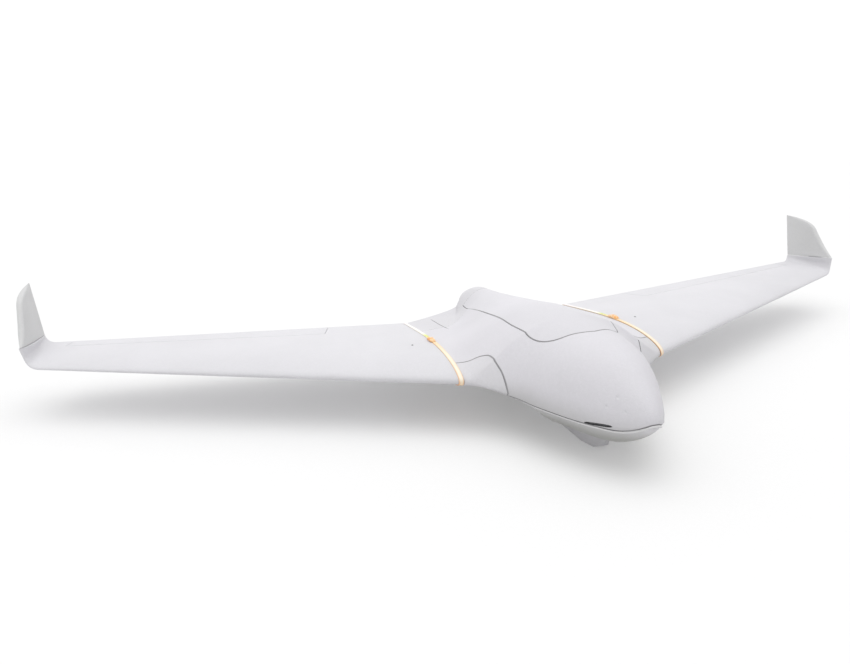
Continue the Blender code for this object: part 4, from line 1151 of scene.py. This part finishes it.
def dress_nodes():
    """Finishes and rounded edges for the CAD nodes that stay visible."""
    dark = moulded("black_case_plastic", (0.035, 0.035, 0.038), 0.45)
    white = moulded("white_moulded_plastic", (0.78, 0.78, 0.78), 0.42)
    metal = turned("turned_aluminium", (0.62, 0.63, 0.65), 0.30)
    finishes = {
        "front_spar": carbon(), "motor_mount": metal, "motor_stator": windings(), "battery": shrink_wrap(),
        "battery_strap": webbing(), "avionics_board": plywood(), "flight_controller": dark,
        "gps_puck": white, "servo": dark, "pushrod": wire(), "tail_magnet": plated(),
        "keel_skid": moulded("skid_film", (0.74, 0.74, 0.75), 0.50, 400.0),
    }
    same = {
        "rear_spar": "front_spar", "motor_bell": "motor_mount", "prop_adapter": "motor_mount",
        "receiver": "flight_controller", "speed_controller": "flight_controller",
        "root_rib": "avionics_board", "winglet_tongue": "gps_puck", "control_horn": "gps_puck",
        "servo_cover": "gps_puck", "servo_arm": "gps_puck", "tray_magnet": "tail_magnet",
        "hatch_magnet": "tail_magnet", "canopy_magnet": "tail_magnet",
    }
    rounded = {
        "flight_controller": 0.0012, "receiver": 0.0010, "speed_controller": 0.0010, "gps_puck": 0.0012,
        "servo": 0.0008, "servo_cover": 0.0003, "avionics_board": 0.0003, "motor_mount": 0.0004,
        "keel_skid": 0.0004, "root_rib": 0.0002,
    }
    for name, item in NODES.items():
        if item.hide_render:
            continue
        kind = name.replace("_left", "").replace("_right", "")
        item.data.materials.clear()
        item.data.materials.append(finishes[same.get(kind, kind)])
        if kind in rounded:
            weld = item.modifiers.new("weld", "WELD")
            weld.merge_threshold = 1e-5
            round_edges(item, rounded[kind], 2, 50)


# ---------------------------------------------------------------- studio


def sheet(name, corners, material):
    mesh = bpy.data.meshes.new(name)
    mesh.from_pydata(corners, [], [(0, 1, 2, 3)])
    mesh.materials.append(material)
    item = bpy.data.objects.new(name, mesh)
    bpy.context.scene.collection.objects.link(item)
    return item


def build_stage():
    side, below, wall_x, wall_low, wall_high = 60, -0.0006, -40, -1, 13
    floor = sheet("studio_floor", [(-side, -side, below), (side, -side, below), (side, side, below),
                                   (-side, side, below)], studio("floor_paper", 0.20, 0.65))
    wall = sheet("studio_wall", [(wall_x, -side, wall_low), (wall_x, side, wall_low),
                                 (wall_x, side, wall_high), (wall_x, -side, wall_high)],
                 studio("wall_paper", 1.0, 0.80))


def build_lights():
    """Sky brighter towards the top, and one wide soft lamp from above."""
    horizon, zenith = 0.20, 1.42
    world = bpy.data.worlds.new("studio")
    bpy.context.scene.world = world
    world.use_nodes = True
    tree = world.node_tree
    sky = tree.nodes["Background"]
    sky.inputs["Strength"].default_value = 1.0
    where = tree.nodes.new("ShaderNodeTexCoord")
    split = tree.nodes.new("ShaderNodeSeparateXYZ")
    ramp = tree.nodes.new("ShaderNodeValToRGB")
    tree.links.new(where.outputs["Generated"], split.inputs["Vector"])
    tree.links.new(split.outputs["Z"], ramp.inputs["Fac"])
    tree.links.new(ramp.outputs["Color"], sky.inputs["Color"])
    line = ramp.color_ramp.elements
    for item, at, level in zip(line, (0.0, 1.0), (horizon, zenith)):
        item.position = at
        item.color = (level, level, level, 1.0)

    lamp = bpy.data.lights.new("overhead", "SUN")
    lamp.energy = 0.66
    lamp.angle = math.radians(60)
    light = bpy.data.objects.new("overhead", lamp)
    bpy.context.scene.collection.objects.link(light)
    light.rotation_euler = Vector((-0.15, 0.05, -1.0)).to_track_quat("-Z", "Y").to_euler()


def build_camera():
    data = bpy.data.cameras.new("camera")
    data.sensor_width = 36.0
    data.lens = 28.376
    data.clip_start = 0.02
    data.clip_end = 200.0
    camera = bpy.data.objects.new("camera", data)
    bpy.context.scene.collection.objects.link(camera)
    right = Vector((0.275615, 0.960340, -0.042224))
    down = Vector((0.263978, -0.117852, -0.957302))
    ahead = Vector((-0.924311, 0.252701, -0.285991))
    turn = Matrix((right, -down, -ahead)).transposed().to_4x4()
    camera.matrix_world = Matrix.Translation((1.26509, -0.58696, 0.55881)) @ turn
    bpy.context.scene.camera = camera


build_body()
build_wing()
for flank in (1, -1):
    strap(flank)
    clip(flank)
dress_nodes()
build_stage()
build_lights()
build_camera()
bpy.context.scene.view_settings.view_transform = "Standard"
